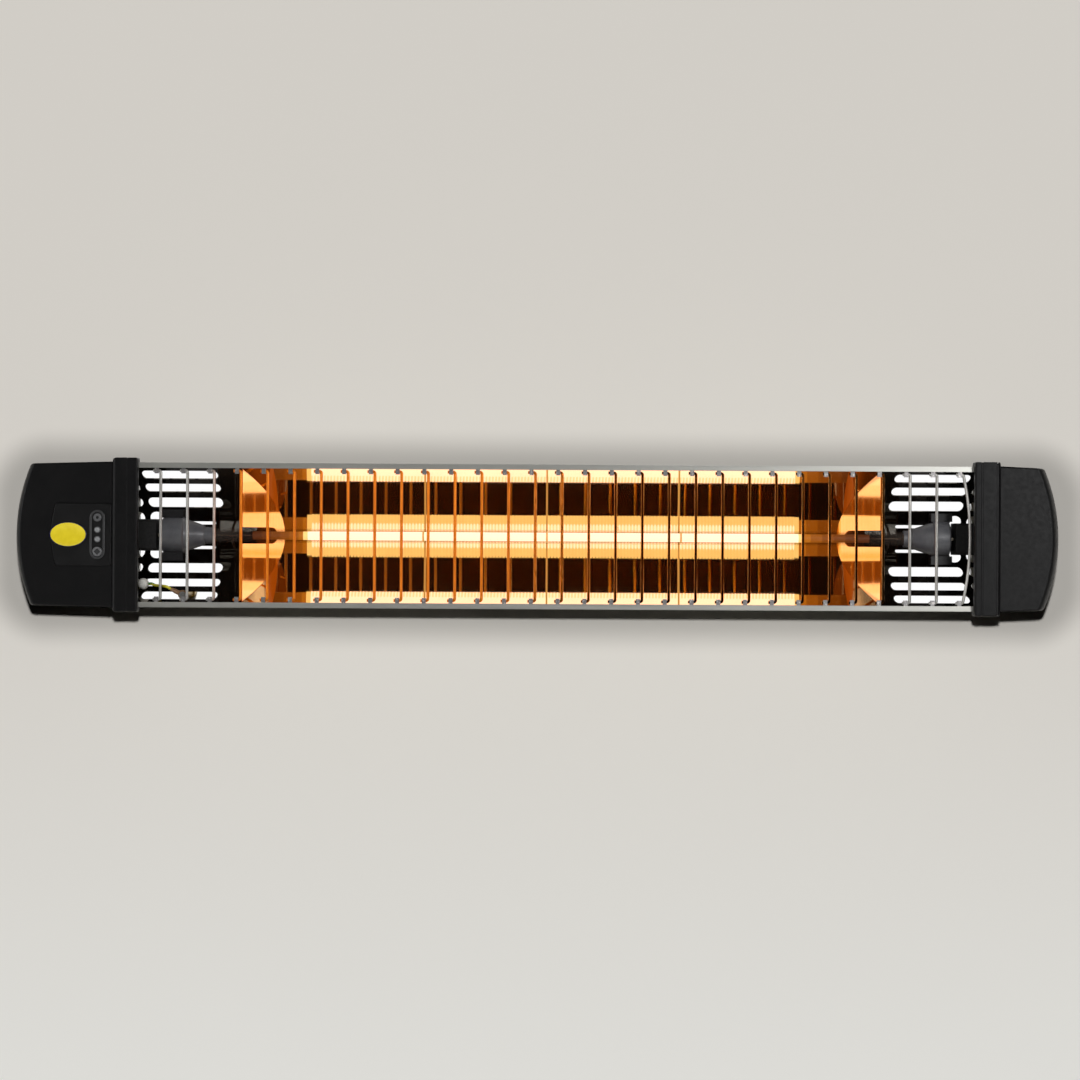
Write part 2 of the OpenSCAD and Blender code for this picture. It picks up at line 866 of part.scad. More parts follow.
// Front view of a cap beyond its collar, set in by a wall
module cap_front(l, inset) {
    outer_x = collar_x + collar_w + l;
    bulge_r = (pow(body_half + box_grow - cap_drop, 2) + cap_bulge * cap_bulge) / (2 * cap_bulge);
    near = body_half + box_grow - inset;
    far = near - cap_drop;
    intersection() {
        polygon([
            [cap_x - over, -near], [outer_x, -far], [outer_x, far], [cap_x - over, near]
        ]);
        translate([outer_x - bulge_r, 0]) circle(r = bulge_r - inset, $fn = 96);
    }
}

// Hollow cap that takes the housing's end in its collar
module end_cap(l) {
    reach = l + collar_w + 2 * cap_bulge;
    difference() {
        union() {
            intersection() {
                along_x(cap_x, reach) polygon(body_outline(box_grow, -cap_proud));
                along_y(-cap_proud - over, body_d + box_grow + cap_proud + 2 * over)
                    cap_front(l, 0);
            }
            intersection() {
                along_x(collar_x, collar_w) polygon(body_outline(collar_t, -collar_proud));
                union() {
                    translate([collar_x, -collar_proud, -body_h])
                        cube([collar_w, collar_proud + collar_back_d, 2 * body_h]);
                    translate([collar_back_x, 0, -body_h])
                        cube([collar_w - collar_back_x + collar_x, 2 * body_d, 2 * body_h]);
                }
            }
        }
        along_x(collar_x - over, cap_x - collar_x + over) polygon(body_outline(seat_gap, -seat_gap));
        intersection() {
            along_x(cap_x - over, reach)
                polygon(body_outline(box_grow - cap_t, face_t - cap_proud));
            along_y(-cap_proud - over, body_d + box_grow + cap_proud + 2 * over) cap_front(l, cap_t);
        }
        for (row = [0, 1]) {
            mirror([0, 0, row]) translate([cap_screw_x, cap_screw_d, body_half]) {
                cylinder(h = collar_t + over, r = cap_screw_r + pin_gap);
                translate([0, 0, collar_t - cap_screw_head_h])
                    cylinder(h = cap_screw_head_h + over, r = cap_screw_head_r + seat_gap);
            }
        }
    }
}

// Front view of the control cover, grown by a gap
module cover_front_view(grow) {
    outer_x = collar_x + collar_w + left_cap_l;
    bulge_r = (pow(body_half + box_grow - cap_drop, 2) + cap_bulge * cap_bulge) / (2 * cap_bulge);
    left = cover_right_x + cover_l;
    intersection() {
        translate([cover_right_x - grow, -cover_h / 2 - grow])
            square([cover_l + 2 * grow, cover_h + 2 * grow]);
        translate([outer_x - bulge_r, 0]) circle(r = bulge_r - outer_x + left + grow, $fn = 96);
    }
}

// Places of the control board's four screws
module at_board_screws() {
    for (x = [-1, 1], z = [-1, 1]) {
        translate([-board_x + x * (board_l / 2 - board_inset), 0, z * (board_h / 2 - board_inset)])
            children();
    }
}

module left_end_cap() {
    boss_front = face_t - cap_proud - over;
    color("#1e2021") on_heater() difference() {
        union() {
            difference() {
                mirror([1, 0, 0]) end_cap(left_cap_l);
                mirror([1, 0, 0]) along_y(-cap_proud - over, cover_back + cap_proud + over)
                    cover_front_view(cover_gap);
                mirror([1, 0, 0]) along_y(-cap_proud, face_t + over) cover_front_view(-ledge_w);
            }
            at_board_screws() peg(0, 0, boss_front, board_depth - boss_front, boss_r);
            translate([-block_x - block_l / 2, block_front + block_t, -block_h / 2])
                cube([block_l, box_back_d - cap_t / 2 - block_front - block_t, block_h]);
        }
        at_board_screws()
            peg(0, 0, board_depth - board_screw_l, board_screw_l + over, board_screw_r + pin_gap);
        peg(-gland_x, 0, box_back_d - cap_t - over, cap_t + 2 * over, gland_core_r + pin_gap);
    }
}

module right_end_cap() {
    color("#1e2021") on_heater() end_cap(right_cap_l);
}

module end_plate(side) {
    difference() {
        along_x(plate_x, plate_t) polygon(body_outline(0, 0));
        rod_x(plate_x - over, plate_t + 2 * over, lamp_d, 0, lead_r + lead_hole_gap);
        rod_x(plate_x - over, plate_t + 2 * over, lamp_d, return_z, lead_r + lead_hole_gap);
        if (side < 0) {
            rod_x(plate_x - over, plate_t + 2 * over, bush_at[1], bush_at[2],
                earth_wire_r + lead_hole_gap);
        }
    }
}

module left_end_plate() {
    color("darkgray") on_heater() mirror([1, 0, 0]) end_plate(-1);
}

module right_end_plate() {
    color("darkgray") on_heater() end_plate(1);
}

module gasket() {
    along_x(gasket_x, gasket_t) difference() {
        polygon(body_outline(0, 0));
        polygon(body_outline(-gasket_band, gasket_band));
    }
}

module left_gasket() {
    color("black") on_heater() mirror([1, 0, 0]) gasket();
}

module right_gasket() {
    color("black") on_heater() gasket();
}

module cap_screws() {
    color("dimgray") on_heater() for (side = [-1, 1], row = [0, 1]) {
        mirror([0, 0, row]) translate([side * cap_screw_x, cap_screw_d, body_half + collar_t]) {
            translate([0, 0, -cap_screw_head_h])
                cylinder(h = cap_screw_head_h - seat_gap, r = cap_screw_head_r);
            translate([0, 0, -cap_screw_l])
                cylinder(h = cap_screw_l - cap_screw_head_h / 2, r = cap_screw_r);
        }
    }
}

module control_cover() {
    color("#26282a") on_heater() difference() {
        mirror([1, 0, 0]) along_y(cover_front, cover_t) cover_front_view(0);
        peg(-bezel_x, button_z, -cap_proud, face_t, button_r + move_gap);
        peg(-bezel_x, sensor_z, -cap_proud, face_t, sensor_r - band_w / 2);
        for (z = led_zs) {
            peg(-bezel_x, z, -cap_proud, face_t, led_stem_r + pin_gap);
        }
    }
}

// Oval of a given length and height
module oval(l, h) {
    polygon([for (i = [0:badge_steps - 1]) let (a = 360 * i / badge_steps)
        [l / 2 * cos(a), h / 2 * sin(a)]]);
}

module badge() {
    color("gold") on_heater() translate([-badge_x, 0, 0]) {
        along_y(cover_front - badge_rim_h, badge_rim_h) oval(badge_l, badge_h);
        along_y(cover_front - badge_rim_h - badge_top_h, badge_top_h + badge_rim_h / 2)
            oval(badge_top_share * badge_l, badge_top_share * badge_h);
    }
}

module keypad_bezel() {
    color("gray") on_heater() translate([-bezel_x, 0, 0]) rotate([0, 90, 0])
        along_y(cover_front - bezel_up, bezel_up) difference() {
            stadium(bezel_h, bezel_w);
            stadium(bezel_h - 2 * band_w, bezel_w - 2 * band_w);
        }
}

module sensor_window() {
    color("dimgray") on_heater() difference() {
        union() {
            peg(-bezel_x, sensor_z, cover_front - sensor_up, sensor_up, sensor_r);
            peg(-bezel_x, sensor_z, cover_front - sensor_up / 2, cover_t + sensor_up, sensor_r - band_w / 2
                - pin_gap);
        }
        peg(-bezel_x, sensor_z, cover_front - 2 * sensor_up, 2 * sensor_up, sensor_hole_r);
    }
}

module status_lights() {
    color("lightgray") on_heater() for (z = led_zs) {
        peg(-bezel_x, z, cover_front - led_up, led_up, led_r);
        peg(-bezel_x, z, cover_front - led_up / 2, board_depth - chip_led_h - seat_gap - cover_front
            + led_up / 2, led_stem_r);
    }
}

module power_button() {
    flange_at = cover_back + move_gap;
    stem_end = board_depth - switch_h - plunger_h - button_travel - move_gap;
    color("gray") on_heater() difference() {
        union() {
            peg(-bezel_x, button_z, cover_front - button_up, flange_at + over - cover_front + button_up
                - over / 2, button_r);
            peg(-bezel_x, button_z, flange_at, button_flange_t, button_flange_r);
            peg(-bezel_x, button_z, flange_at, stem_end - flange_at, button_stem_r);
        }
        peg(-bezel_x, button_z, cover_front - button_up - over, key_cup_d + over, key_cup_r);
    }
}

module control_board() {
    color("darkgreen") on_heater() difference() {
        translate([-board_x - board_l / 2, board_depth, -board_h / 2]) cube([board_l, board_t, board_h]);
        at_board_screws() peg(0, 0, board_depth - over, board_t + 2 * over, board_screw_r + pin_gap);
    }
}

module board_components() {
    back = board_depth + board_t;
    color("royalblue") on_heater() {
        translate([-bezel_x - switch_w / 2, board_depth - switch_h, button_z - switch_w / 2])
            cube([switch_w, switch_h, switch_w]);
        peg(-bezel_x, button_z, board_depth - switch_h - plunger_h, plunger_h + over, plunger_r);
        translate([-bezel_x - receiver_w / 2, board_depth - receiver_h, sensor_z - receiver_w / 2])
            cube([receiver_w, receiver_h, receiver_w]);
        for (z = led_zs) {
            translate([-bezel_x - chip_led_w / 2, board_depth - chip_led_h, z - chip_led_w / 2])
                cube([chip_led_w, chip_led_h, chip_led_w]);
        }
        translate([-board_x - relay_size[0] / 2, back, relay_z - relay_size[2] / 2])
            cube(relay_size);
        peg(-board_x, can_z, back, can_h, can_r);
    }
}

module board_screws() {
    color("dimgray") on_heater() at_board_screws() {
        peg(0, 0, board_depth - board_screw_l + over, board_screw_l + board_t, board_screw_r);
        peg(0, 0, board_depth + board_t, board_screw_head_h, board_screw_head_r);
    }
}

module board_leads() {
    back = board_depth + board_t;
    color("saddlebrown") on_heater() for (x = [-1, 1]) {
        lead_x = -block_x + x * block_l / 4;
        wire_along(smooth_route([
            [lead_x, lamp_d, block_h / 2 + seat_gap],
            [lead_x, lamp_d, block_h / 2 + 5 * lead_r],
            [lead_x, lamp_d - 5 * lead_r, board_h / 2 - 5 * lead_r],
            [lead_x, back + 3 * lead_r, board_h / 2 - 5 * lead_r],
            [lead_x, back + seat_gap, board_h / 2 - 5 * lead_r]
        ], 3), lead_r, 8);
    }
}

module terminal_block() {
    color("whitesmoke") on_heater() difference() {
        translate([-block_x - block_l / 2, block_front, -block_h / 2])
            cube([block_l, block_t, block_h]);
        for (x = [-1, 1], z = [-1, 1]) {
            peg(-block_x + x * block_l / 4, z * block_h / 4, block_front - over, block_screw_h + over,
                block_screw_r);
        }
    }
}

module cable_gland() {
    color("dimgray") on_heater() difference() {
        union() {
            peg(-gland_x, 0, box_back_d - gland_inside_l, gland_inside_l + over, gland_core_r);
            translate([-gland_x, 0, 0]) along_y(box_back_d, gland_flange_t) hexagon(gland_af);
            peg(-gland_x, 0, box_back_d + gland_flange_t - over, gland_neck_l + over, gland_core_r);
        }
        peg(-gland_x, 0, box_back_d - gland_inside_l - over, gland_inside_l + gland_flange_t
            + gland_neck_l + 2 * over, gland_bore_r);
    }
}

module gland_seal() {
    start = box_back_d + gland_flange_t;
    color("black") on_heater() difference() {
        peg(-gland_x, 0, start, gland_neck_l, gland_bore_r - pin_gap);
        peg(-gland_x, 0, start - over, gland_neck_l + 2 * over, cable_hole_d / 2);
    }
}

module gland_nut() {
    start = box_back_d + gland_flange_t + seat_gap;
    color("dimgray") on_heater() difference() {
        union() {
            translate([-gland_x, 0, 0]) along_y(start, gland_nut_l / 2) hexagon(gland_af - 2 * seat_gap);
            peg(-gland_x, 0, start, gland_nut_l - gland_nut_lip, gland_nut_r - seat_gap);
            translate([-gland_x, start + gland_nut_l - gland_nut_lip, 0]) rotate([-90, 0, 0])
                cylinder(h = gland_nut_lip, r1 = gland_nut_r - seat_gap, r2 = gland_core_r);
        }
        peg(-gland_x, 0, start - over, gland_neck_l + over, gland_core_r + pin_gap);
        peg(-gland_x, 0, start, gland_nut_l + over, cable_hole_d / 2 + seat_gap);
    }
}

module gland_locknut() {
    color("dimgray") on_heater() difference() {
        translate([-gland_x, 0, 0]) along_y(box_back_d - cap_t - locknut_t, locknut_t)
            hexagon(gland_af);
        peg(-gland_x, 0, box_back_d - cap_t - locknut_t - over, locknut_t + 2 * over,
            gland_core_r + pin_gap);
    }
}

// Post on the housing's back that carries the earth screw in front of the reflector
module earth_post() {
    half = body_half - wall_t - back_half;
    rise = sqrt(1 - pow((-earth_z - post_foot_r - back_half) / half, 2));
    wall_d = shoulder_d + (body_d - wall_t - shoulder_d) * rise;
    color("goldenrod") on_heater() difference() {
        intersection() {
            union() {
                peg(earth_x, earth_z, earth_d, body_d, post_r);
                peg(earth_x, earth_z, wall_d - post_foot_t - half / 2, body_d, post_foot_r - pin_gap);
            }
            along_x(earth_x - 2 * post_foot_r, 4 * post_foot_r)
                polygon(body_outline(-wall_t - seat_gap, 0));
        }
        peg(earth_x, earth_z, earth_d - over, earth_head_h * 4, earth_screw_r + pin_gap);
    }
}

module earth_screw() {
    front = earth_d - seat_gap - ring_t;
    color("silver") on_heater() {
        peg(earth_x, earth_z, front - earth_head_h, earth_head_h, earth_head_r);
        peg(earth_x, earth_z, front - earth_head_h / 2, earth_head_h * 3, earth_screw_r);
    }
}

module ring_terminal() {
    front = earth_d - seat_gap / 2 - ring_t;
    color("peru") on_heater() difference() {
        union() {
            peg(earth_x, earth_z, front, ring_t, ring_r);
            translate([earth_x, front, earth_z]) rotate([0, 180 + earth_lean, 0])
                translate([ring_hole_r, 0, -ring_r / 2])
                    cube([ring_r + barrel_wire_r, ring_t, ring_r]);
            translate([earth_x, front + ring_t, earth_z]) rotate([0, 180 + earth_lean, 0])
                rod_x(ring_r + seat_gap, barrel_wire_l, 0, 0, barrel_wire_r);
        }
        peg(earth_x, earth_z, front - over, ring_t + 2 * over, ring_hole_r);
    }
}

module earth_wire() {
    lean = [-cos(earth_lean), 0, sin(earth_lean)];
    start = [earth_x, earth_d - seat_gap / 2, earth_z]
        + (ring_r + barrel_wire_l + 2 * seat_gap) * lean;
    color("yellowgreen") on_heater() wire_along(smooth_route([
        start,
        start + earth_wire_r * lean,
        start + 4 * earth_wire_r * lean,
        bush_at + [2 * bush_r + earth_wire_r, -2 * earth_wire_r, -earth_wire_r],
        bush_at + [3 * bush_r / 2, 0, 0],
        bush_at + [bush_r, 0, 0],
        bush_at,
        bush_at - [bush_r, 0, 0],
        [-plate_x, bush_at[1], bush_at[2]],
        [-plate_x - 2 * bush_r, bush_at[1], bush_at[2]],
        [-block_x + bush_r, bush_at[1] + 2 * bush_r, bush_at[2] + 2 * bush_r],
        [-block_x - 3 * bush_r / 2, lamp_d, -block_h / 2 - 2 * bush_r],
        [-block_x - 3 * bush_r / 2, lamp_d, -block_h / 2 - 2 * earth_wire_r],
        [-block_x - 3 * bush_r / 2, lamp_d, -block_h / 2 - seat_gap]
    ], 3), earth_wire_r, 8);
}

module wire_bush() {
    bore_r = earth_wire_r + 2 * seat_gap;
    start = asin(bore_r / bush_r);
    color("whitesmoke") on_heater() translate(bush_at) rotate([0, 90, 0]) rotate_extrude()
        polygon([for (i = [0:bush_steps]) let (a = start + (180 - 2 * start) * i / bush_steps)
            bush_r * [sin(a), -cos(a)]]);
}

// Round ear on a tapered root, in the Y-Z plane about the tilt axis
module ear(root, root_half) {
    translate([-pivot_y, 0]) circle(r = ear_r);
    polygon([
        [-pivot_y, -ear_r], [root, -root_half], [root, root_half], [-pivot_y, ear_r]
    ]);
}

module tilt_bracket() {
    back = -wall_gap;
    color("#2b2d2f") difference() {
        union() {
            translate([-tilt_ear_x - bracket_t, back, -tilt_plate_h / 2])
                cube([2 * (tilt_ear_x + bracket_t), bracket_t, tilt_plate_h]);
            for (side = [-1, 1]) {
                along_x(side * (tilt_ear_x + bracket_t / 2) - bracket_t / 2, bracket_t)
                    ear(back + bracket_t / 2, tilt_ear_h);
            }
        }
        rod_x(-yoke_w, 2 * yoke_w, -pivot_y, 0, bolt_r + pin_gap);
        for (side = [-1, 1], row = [-1, 1]) {
            peg(side * tilt_screw_x, row * tilt_screw_z, back - over, bracket_t + 2 * over,
                tilt_screw_r + pin_gap);
        }
    }
}

module bracket_screws() {
    head = -wall_gap + bracket_t;
    color("dimgray") for (side = [-1, 1], row = [-1, 1]) {
        x = side * tilt_screw_x;
        z = row * tilt_screw_z;
        peg(x, z, head, tilt_screw_head_h, tilt_screw_head_r);
        peg(x, z, head - tilt_screw_l, tilt_screw_l + tilt_screw_head_h / 2, tilt_screw_r);
    }
}

module wall_bracket() {
    color("#2b2d2f") difference() {
        union() {
            translate([-yoke_w / 2, -bracket_t, -yoke_h / 2]) cube([yoke_w, bracket_t, yoke_h]);
            for (side = [-1, 1]) {
                along_x(side * (yoke_ear_x + bracket_t / 2) - bracket_t / 2, bracket_t)
                    ear(-bracket_t / 2, yoke_ear_h);
            }
        }
        rod_x(-yoke_w, 2 * yoke_w, -pivot_y, 0, bolt_r + pin_gap);
        for (side = [-1, 1], row = [-1, 1]) {
            peg(side * hole_pitch_x / 2, row * hole_pitch_z / 2, -bracket_t - over,
                bracket_t + 2 * over, wall_hole_d / 2);
        }
        along_y(-bracket_t - over, bracket_t + 2 * over) {
            square([window_w, window_h - 2 * window_r], center = true);
            square([window_w - 2 * window_r, window_h], center = true);
            for (side = [-1, 1], row = [-1, 1]) {
                translate([side * (window_w / 2 - window_r), row * (window_h / 2 - window_r)])
                    circle(r = window_r);
            }
        }
    }
}

module pivot_bolts() {
    head_x = yoke_w / 2 + move_gap;
    color("silver") for (side = [0, 1]) {
        mirror([side, 0, 0]) {
            along_x(head_x, bolt_head_h) translate([-pivot_y, 0]) circle(r = bolt_head_r, $fn = 6);
            rod_x(head_x - bolt_l, bolt_l + bolt_head_h / 2, -pivot_y, 0, bolt_r);
        }
    }
}

module pivot_washers() {
    washer_x = tilt_ear_x + bracket_t;
    color("lightgray") for (side = [0, 1]) {
        mirror([side, 0, 0]) difference() {
            rod_x(washer_x, washer_t, -pivot_y, 0, washer_r);
            rod_x(washer_x - over, washer_t + 2 * over, -pivot_y, 0, bolt_r + pin_gap);
        }
    }
}

module pivot_nuts() {
    color("silver") for (side = [0, 1]) {
        mirror([side, 0, 0]) difference() {
            along_x(tilt_ear_x - bolt_nut_h, bolt_nut_h) translate([-pivot_y, 0])
                circle(r = bolt_head_r, $fn = 6);
            rod_x(tilt_ear_x - bolt_nut_h - over, bolt_nut_h + 2 * over, -pivot_y, 0,
                bolt_r + pin_gap);
        }
    }
}

housing();
reflector();
left_end_shield();
right_end_shield();
upper_guard_strip();
lower_guard_strip();
guard_wires();
quartz_tube();
heating_coil();
coil_supports();
coil_leads();
left_lamp_holder();
right_lamp_holder();
left_holder_cradle();
right_holder_cradle();
cradle_screws();
left_lead_boot();
right_lead_boot();
left_lamp_lead();
right_lamp_lead();
left_end_cap();
right_end_cap();
left_end_plate();
right_end_plate();
left_gasket();
right_gasket();
cap_screws();
control_cover();
badge();
keypad_bezel();
sensor_window();
status_lights();
power_button();
control_board();
board_components();
board_screws();
board_leads();
terminal_block();
cable_gland();
gland_seal();
gland_nut();
gland_locknut();
earth_post();
earth_screw();
ring_terminal();
earth_wire();
wire_bush();
tilt_bracket();
bracket_screws();
wall_bracket();
pivot_bolts();
pivot_washers();
pivot_nuts();
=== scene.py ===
import bpy
import bmesh
import json
import math
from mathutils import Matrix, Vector
from mathutils.geometry import delaunay_2d_cdt

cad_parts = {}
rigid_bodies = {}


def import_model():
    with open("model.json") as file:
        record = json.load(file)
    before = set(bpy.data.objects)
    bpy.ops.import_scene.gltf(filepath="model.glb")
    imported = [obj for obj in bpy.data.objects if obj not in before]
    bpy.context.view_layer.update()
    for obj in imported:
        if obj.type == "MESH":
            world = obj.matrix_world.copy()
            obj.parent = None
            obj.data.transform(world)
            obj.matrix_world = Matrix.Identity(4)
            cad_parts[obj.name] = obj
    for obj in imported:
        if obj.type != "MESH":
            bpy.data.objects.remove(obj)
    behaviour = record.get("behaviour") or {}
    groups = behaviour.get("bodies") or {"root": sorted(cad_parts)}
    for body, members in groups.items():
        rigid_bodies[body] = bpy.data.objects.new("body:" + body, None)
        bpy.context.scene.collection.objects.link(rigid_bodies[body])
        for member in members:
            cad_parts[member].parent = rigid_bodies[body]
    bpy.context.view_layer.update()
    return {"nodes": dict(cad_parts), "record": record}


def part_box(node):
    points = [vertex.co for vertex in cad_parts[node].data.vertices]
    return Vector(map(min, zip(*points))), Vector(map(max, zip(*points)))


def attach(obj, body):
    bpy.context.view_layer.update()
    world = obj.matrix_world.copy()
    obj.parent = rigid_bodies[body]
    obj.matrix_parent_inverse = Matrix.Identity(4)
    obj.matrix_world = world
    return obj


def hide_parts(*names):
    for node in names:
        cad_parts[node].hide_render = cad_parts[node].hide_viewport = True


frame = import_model()
nodes = frame["nodes"]
scene = bpy.context.scene
MM = 0.001      # a millimetre in metres
LIP_Y = -126.0  # where the housing's lips lie; depths are counted from here towards the wall
WELD = 2e-6     # points of a CAD mesh closer than this are one, in metres
MATS = {}


# Node helpers
class Shader:
    """A material's node tree with short calls for the nodes used here."""

    def __init__(self, name):
        self.mat = MATS[name] = bpy.data.materials.new(name)
        self.mat.use_nodes = True
        self.tree = self.mat.node_tree
        self.tree.nodes.clear()
        self.out = self.tree.nodes.new("ShaderNodeOutputMaterial")
        self.coord = None

    def node(self, kind, **props):
        n = self.tree.nodes.new("ShaderNode" + kind)
        for k, v in props.items():
            setattr(n, k, v)
        return n

    def put(self, socket, value):
        if isinstance(value, bpy.types.NodeSocket):
            self.tree.links.new(value, socket)
        elif isinstance(value, (tuple, list)):
            v = tuple(value)
            socket.default_value = v + (1.0,) if len(v) == 3 and socket.type == "RGBA" else v
        else:
            socket.default_value = value

    def place(self, scale):
        """Object coordinates in millimetres, stretched by scale."""
        if self.coord is None:
            self.coord = self.node("TexCoord")
        m = self.node("Mapping")
        self.put(m.inputs["Vector"], self.coord.outputs["Object"])
        s = scale if isinstance(scale, tuple) else (scale,) * 3
        m.inputs["Scale"].default_value = tuple(1000 * v for v in s)
        return m.outputs["Vector"]

    def noise(self, scale, detail=2.0, rough=0.5):
        n = self.node("TexNoise")
        self.put(n.inputs["Vector"], self.place(scale))
        n.inputs["Scale"].default_value = 1.0
        n.inputs["Detail"].default_value = detail
        n.inputs["Roughness"].default_value = rough
        return n.outputs["Fac"]

    def ramp(self, fac, stops):
        n = self.node("ValToRGB")
        r = n.color_ramp
        r.elements[0].position, r.elements[0].color = stops[0][0], (*stops[0][1], 1)
        r.elements[1].position, r.elements[1].color = stops[-1][0], (*stops[-1][1], 1)
        for p, c in stops[1:-1]:
            r.elements.new(p).color = (*c, 1)
        self.put(n.inputs["Fac"], fac)
        return n.outputs["Color"]

    def range(self, value, a, b, c, d, smooth=False):
        n = self.node("MapRange")
        if smooth:
            n.interpolation_type = "SMOOTHSTEP"
        self.put(n.inputs["Value"], value)
        for i, v in enumerate((a, b, c, d)):
            n.inputs[i + 1].default_value = v
        return n.outputs["Result"]

    def math(self, op, a, b=0.0):
        n = self.node("Math", operation=op)
        self.put(n.inputs[0], a)
        self.put(n.inputs[1], b)
        return n.outputs[0]

    def xyz(self):
        n = self.node("SeparateXYZ")
        self.put(n.inputs[0], self.place(1.0))
        return n.outputs

    def mix(self, fac, a, b):
        n = self.node("Mix", data_type="RGBA")
        self.put(n.inputs[0], fac)
        self.put(n.inputs[6], a)
        self.put(n.inputs[7], b)
        return n.outputs[2]

    def bump(self, height, depth, strength=0.5):
        n = self.node("Bump")
        self.put(n.inputs["Height"], height)
        n.inputs["Distance"].default_value = depth * MM
        n.inputs["Strength"].default_value = strength
        return n.outputs["Normal"]

    def principled(self, **values):
        n = self.node("BsdfPrincipled")
        names = {
            "color": "Base Color", "metal": "Metallic", "rough": "Roughness", "normal": "Normal",
            "spec": "Specular IOR Level", "coat": "Coat Weight", "coat_rough": "Coat Roughness",
            "alpha": "Alpha", "emit": "Emission Color", "strength": "Emission Strength",
        }
        for k, v in values.items():
            self.put(n.inputs[names[k]], v)
        self.tree.links.new(n.outputs[0], self.out.inputs[0])


def grained(name, dark, light, rough=(0.4, 0.6), scale=0.8, grain=1.5, depth=0.02, **more):
    """Finish with blotchy colour between two tones and a fine surface grain."""
    s = Shader(name)
    fine = s.noise(grain, 3.0)
    s.principled(
        color=s.ramp(s.noise(scale, 4.0, 0.6), [(0.3, dark), (0.7, light)]),
        rough=s.range(s.noise(scale * 0.7, 3.0), 0.3, 0.7, *rough),
        normal=s.bump(fine, depth),
        **more,
    )


def brushed(name, dark, light, rough, along, metal=1.0):
    """Metal with fine lines drawn along one axis (0, 1 or 2)."""
    s = Shader(name)
    lines = [2.2, 2.2, 2.2]
    lines[along] = 0.012
    broad = [0.25, 0.25, 0.25]
    broad[along] = 0.01
    n = s.noise(tuple(lines), 2.0)
    s.principled(
        color=s.ramp(s.noise(tuple(broad), 3.0), [(0.3, dark), (0.7, light)]),
        metal=metal,
        rough=s.range(n, 0.25, 0.75, rough - 0.07, rough + 0.07),
        normal=s.bump(n, 0.004, 0.35),
    )


# Materials
def plastic_black():
    s = Shader("cap_plastic")
    fine = s.noise(2.4, 2.0)
    broad = s.noise(0.06, 4.0, 0.6)
    s.principled(
        color=s.mix(s.range(broad, 0.3, 0.7, 0, 1), (0.0034, 0.0034, 0.0037), (0.0050, 0.0049, 0.0051)),
        rough=s.range(s.noise(0.3, 3.0), 0.3, 0.7, 0.42, 0.54),
        normal=s.bump(fine, 0.03, 0.45),
        spec=0.26,
    )


def mirror_metal():
    """Polished sheet, painted darker towards its ends for the shade beyond the shields."""
    s = Shader("reflector_mirror")
    haze = s.noise((0.02, 0.3, 0.3), 3.0)
    bright = s.ramp(s.noise(0.05, 3.0), [(0.3, (0.90, 0.80, 0.64)), (0.7, (0.93, 0.84, 0.68))])
    # Painted shade: the mirror's ends, past the shields, are darkened
    painted_dark_ends = s.ramp(s.noise(0.05, 3.0), [(0.3, (0.26, 0.245, 0.22)), (0.7, (0.32, 0.30, 0.27))])
    s.principled(
        color=s.mix(s.range(s.math("ABSOLUTE", s.xyz()[0]), 224, 234, 0, 1, True), bright, painted_dark_ends),
        metal=1.0,
        rough=s.range(haze, 0.3, 0.7, 0.012, 0.024),
    )


def shield_metal():
    """Mirror plates by the lamp, gold in tone, with a faint painted orange glow for the lamp's light on them."""
    s = Shader("shield_mirror")
    s.principled(
        color=s.ramp(s.noise(0.05, 3.0), [(0.3, (0.90, 0.70, 0.42)), (0.7, (0.94, 0.76, 0.48))]),
        metal=1.0,
        rough=s.range(s.noise((0.3, 0.3, 0.03), 3.0), 0.3, 0.7, 0.015, 0.035),
        # Painted light: a faint orange glow for the lamp's light falling on the plates
        emit=(1.0, 0.17, 0.006), strength=0.19,
    )


def wire_metal():
    """Drawn steel, plain at its ends, with painted lamp light between, brightest on the side facing the lamp.

    The right half is darker in front and smoother, so its sides show the mirror, with a painted reflection of the
    glowing mirror on them too."""
    s = Shader("wire_steel")
    x = s.xyz()[0]
    left = s.range(x, -262, -236, 0, 1, True)
    # Painted lamp light: the span between the shields, where the wires are tinted as if lit by the lamp
    lamp_lit_span = s.math("MULTIPLY", left, s.range(x, 244, 262, 1, 0, True))
    patchy = s.range(s.noise((0.4, 0.4, 0.08), 3.0), 0.25, 0.75, 0, 1)
    # Painted light: the fronts are orange in the left half and dark in the right half
    dark = s.range(x, -70, 70, 0, 1, True)
    warm = s.mix(patchy, (0.80, 0.20, 0.008), (1.0, 0.275, 0.014))
    dull = s.mix(patchy, (0.045, 0.012, 0.001), (0.07, 0.02, 0.002))
    facing = s.node("SeparateXYZ")
    s.put(facing.inputs[0], s.coord.outputs["Normal"])
    # Painted reflection: golden sides for the glowing mirror
    dull = s.mix(s.range(facing.outputs[1], -0.82, -0.55, 0, 1, True), dull, (1.0, 0.66, 0.27))
    # Painted lamp light on the side facing the lamp, dimmer towards the right end
    painted_lamp_side = s.mix(s.range(x, 165, 205, 0, 1, True), (1.0, 0.46, 0.04), (0.32, 0.09, 0.007))
    painted_lamp_light = s.mix(s.range(facing.outputs[1], -0.1, 0.5, 0, 1, True), s.mix(dark, warm, dull), painted_lamp_side)
    plain_ends = s.mix(patchy, (0.40, 0.39, 0.365), (0.50, 0.49, 0.46))
    s.principled(
        color=s.mix(lamp_lit_span, plain_ends, painted_lamp_light),
        metal=s.range(s.math("MULTIPLY", dark, lamp_lit_span), 0, 1, 0.62, 1.0),
        rough=s.math("SUBTRACT", s.range(s.noise((1.5, 1.5, 0.2), 2.0), 0.3, 0.7, 0.30, 0.42),
                     s.math("MULTIPLY", s.math("MULTIPLY", dark, lamp_lit_span), 0.2)),
        normal=s.bump(s.noise((1.5, 1.5, 0.15), 2.0), 0.01, 0.4),
    )


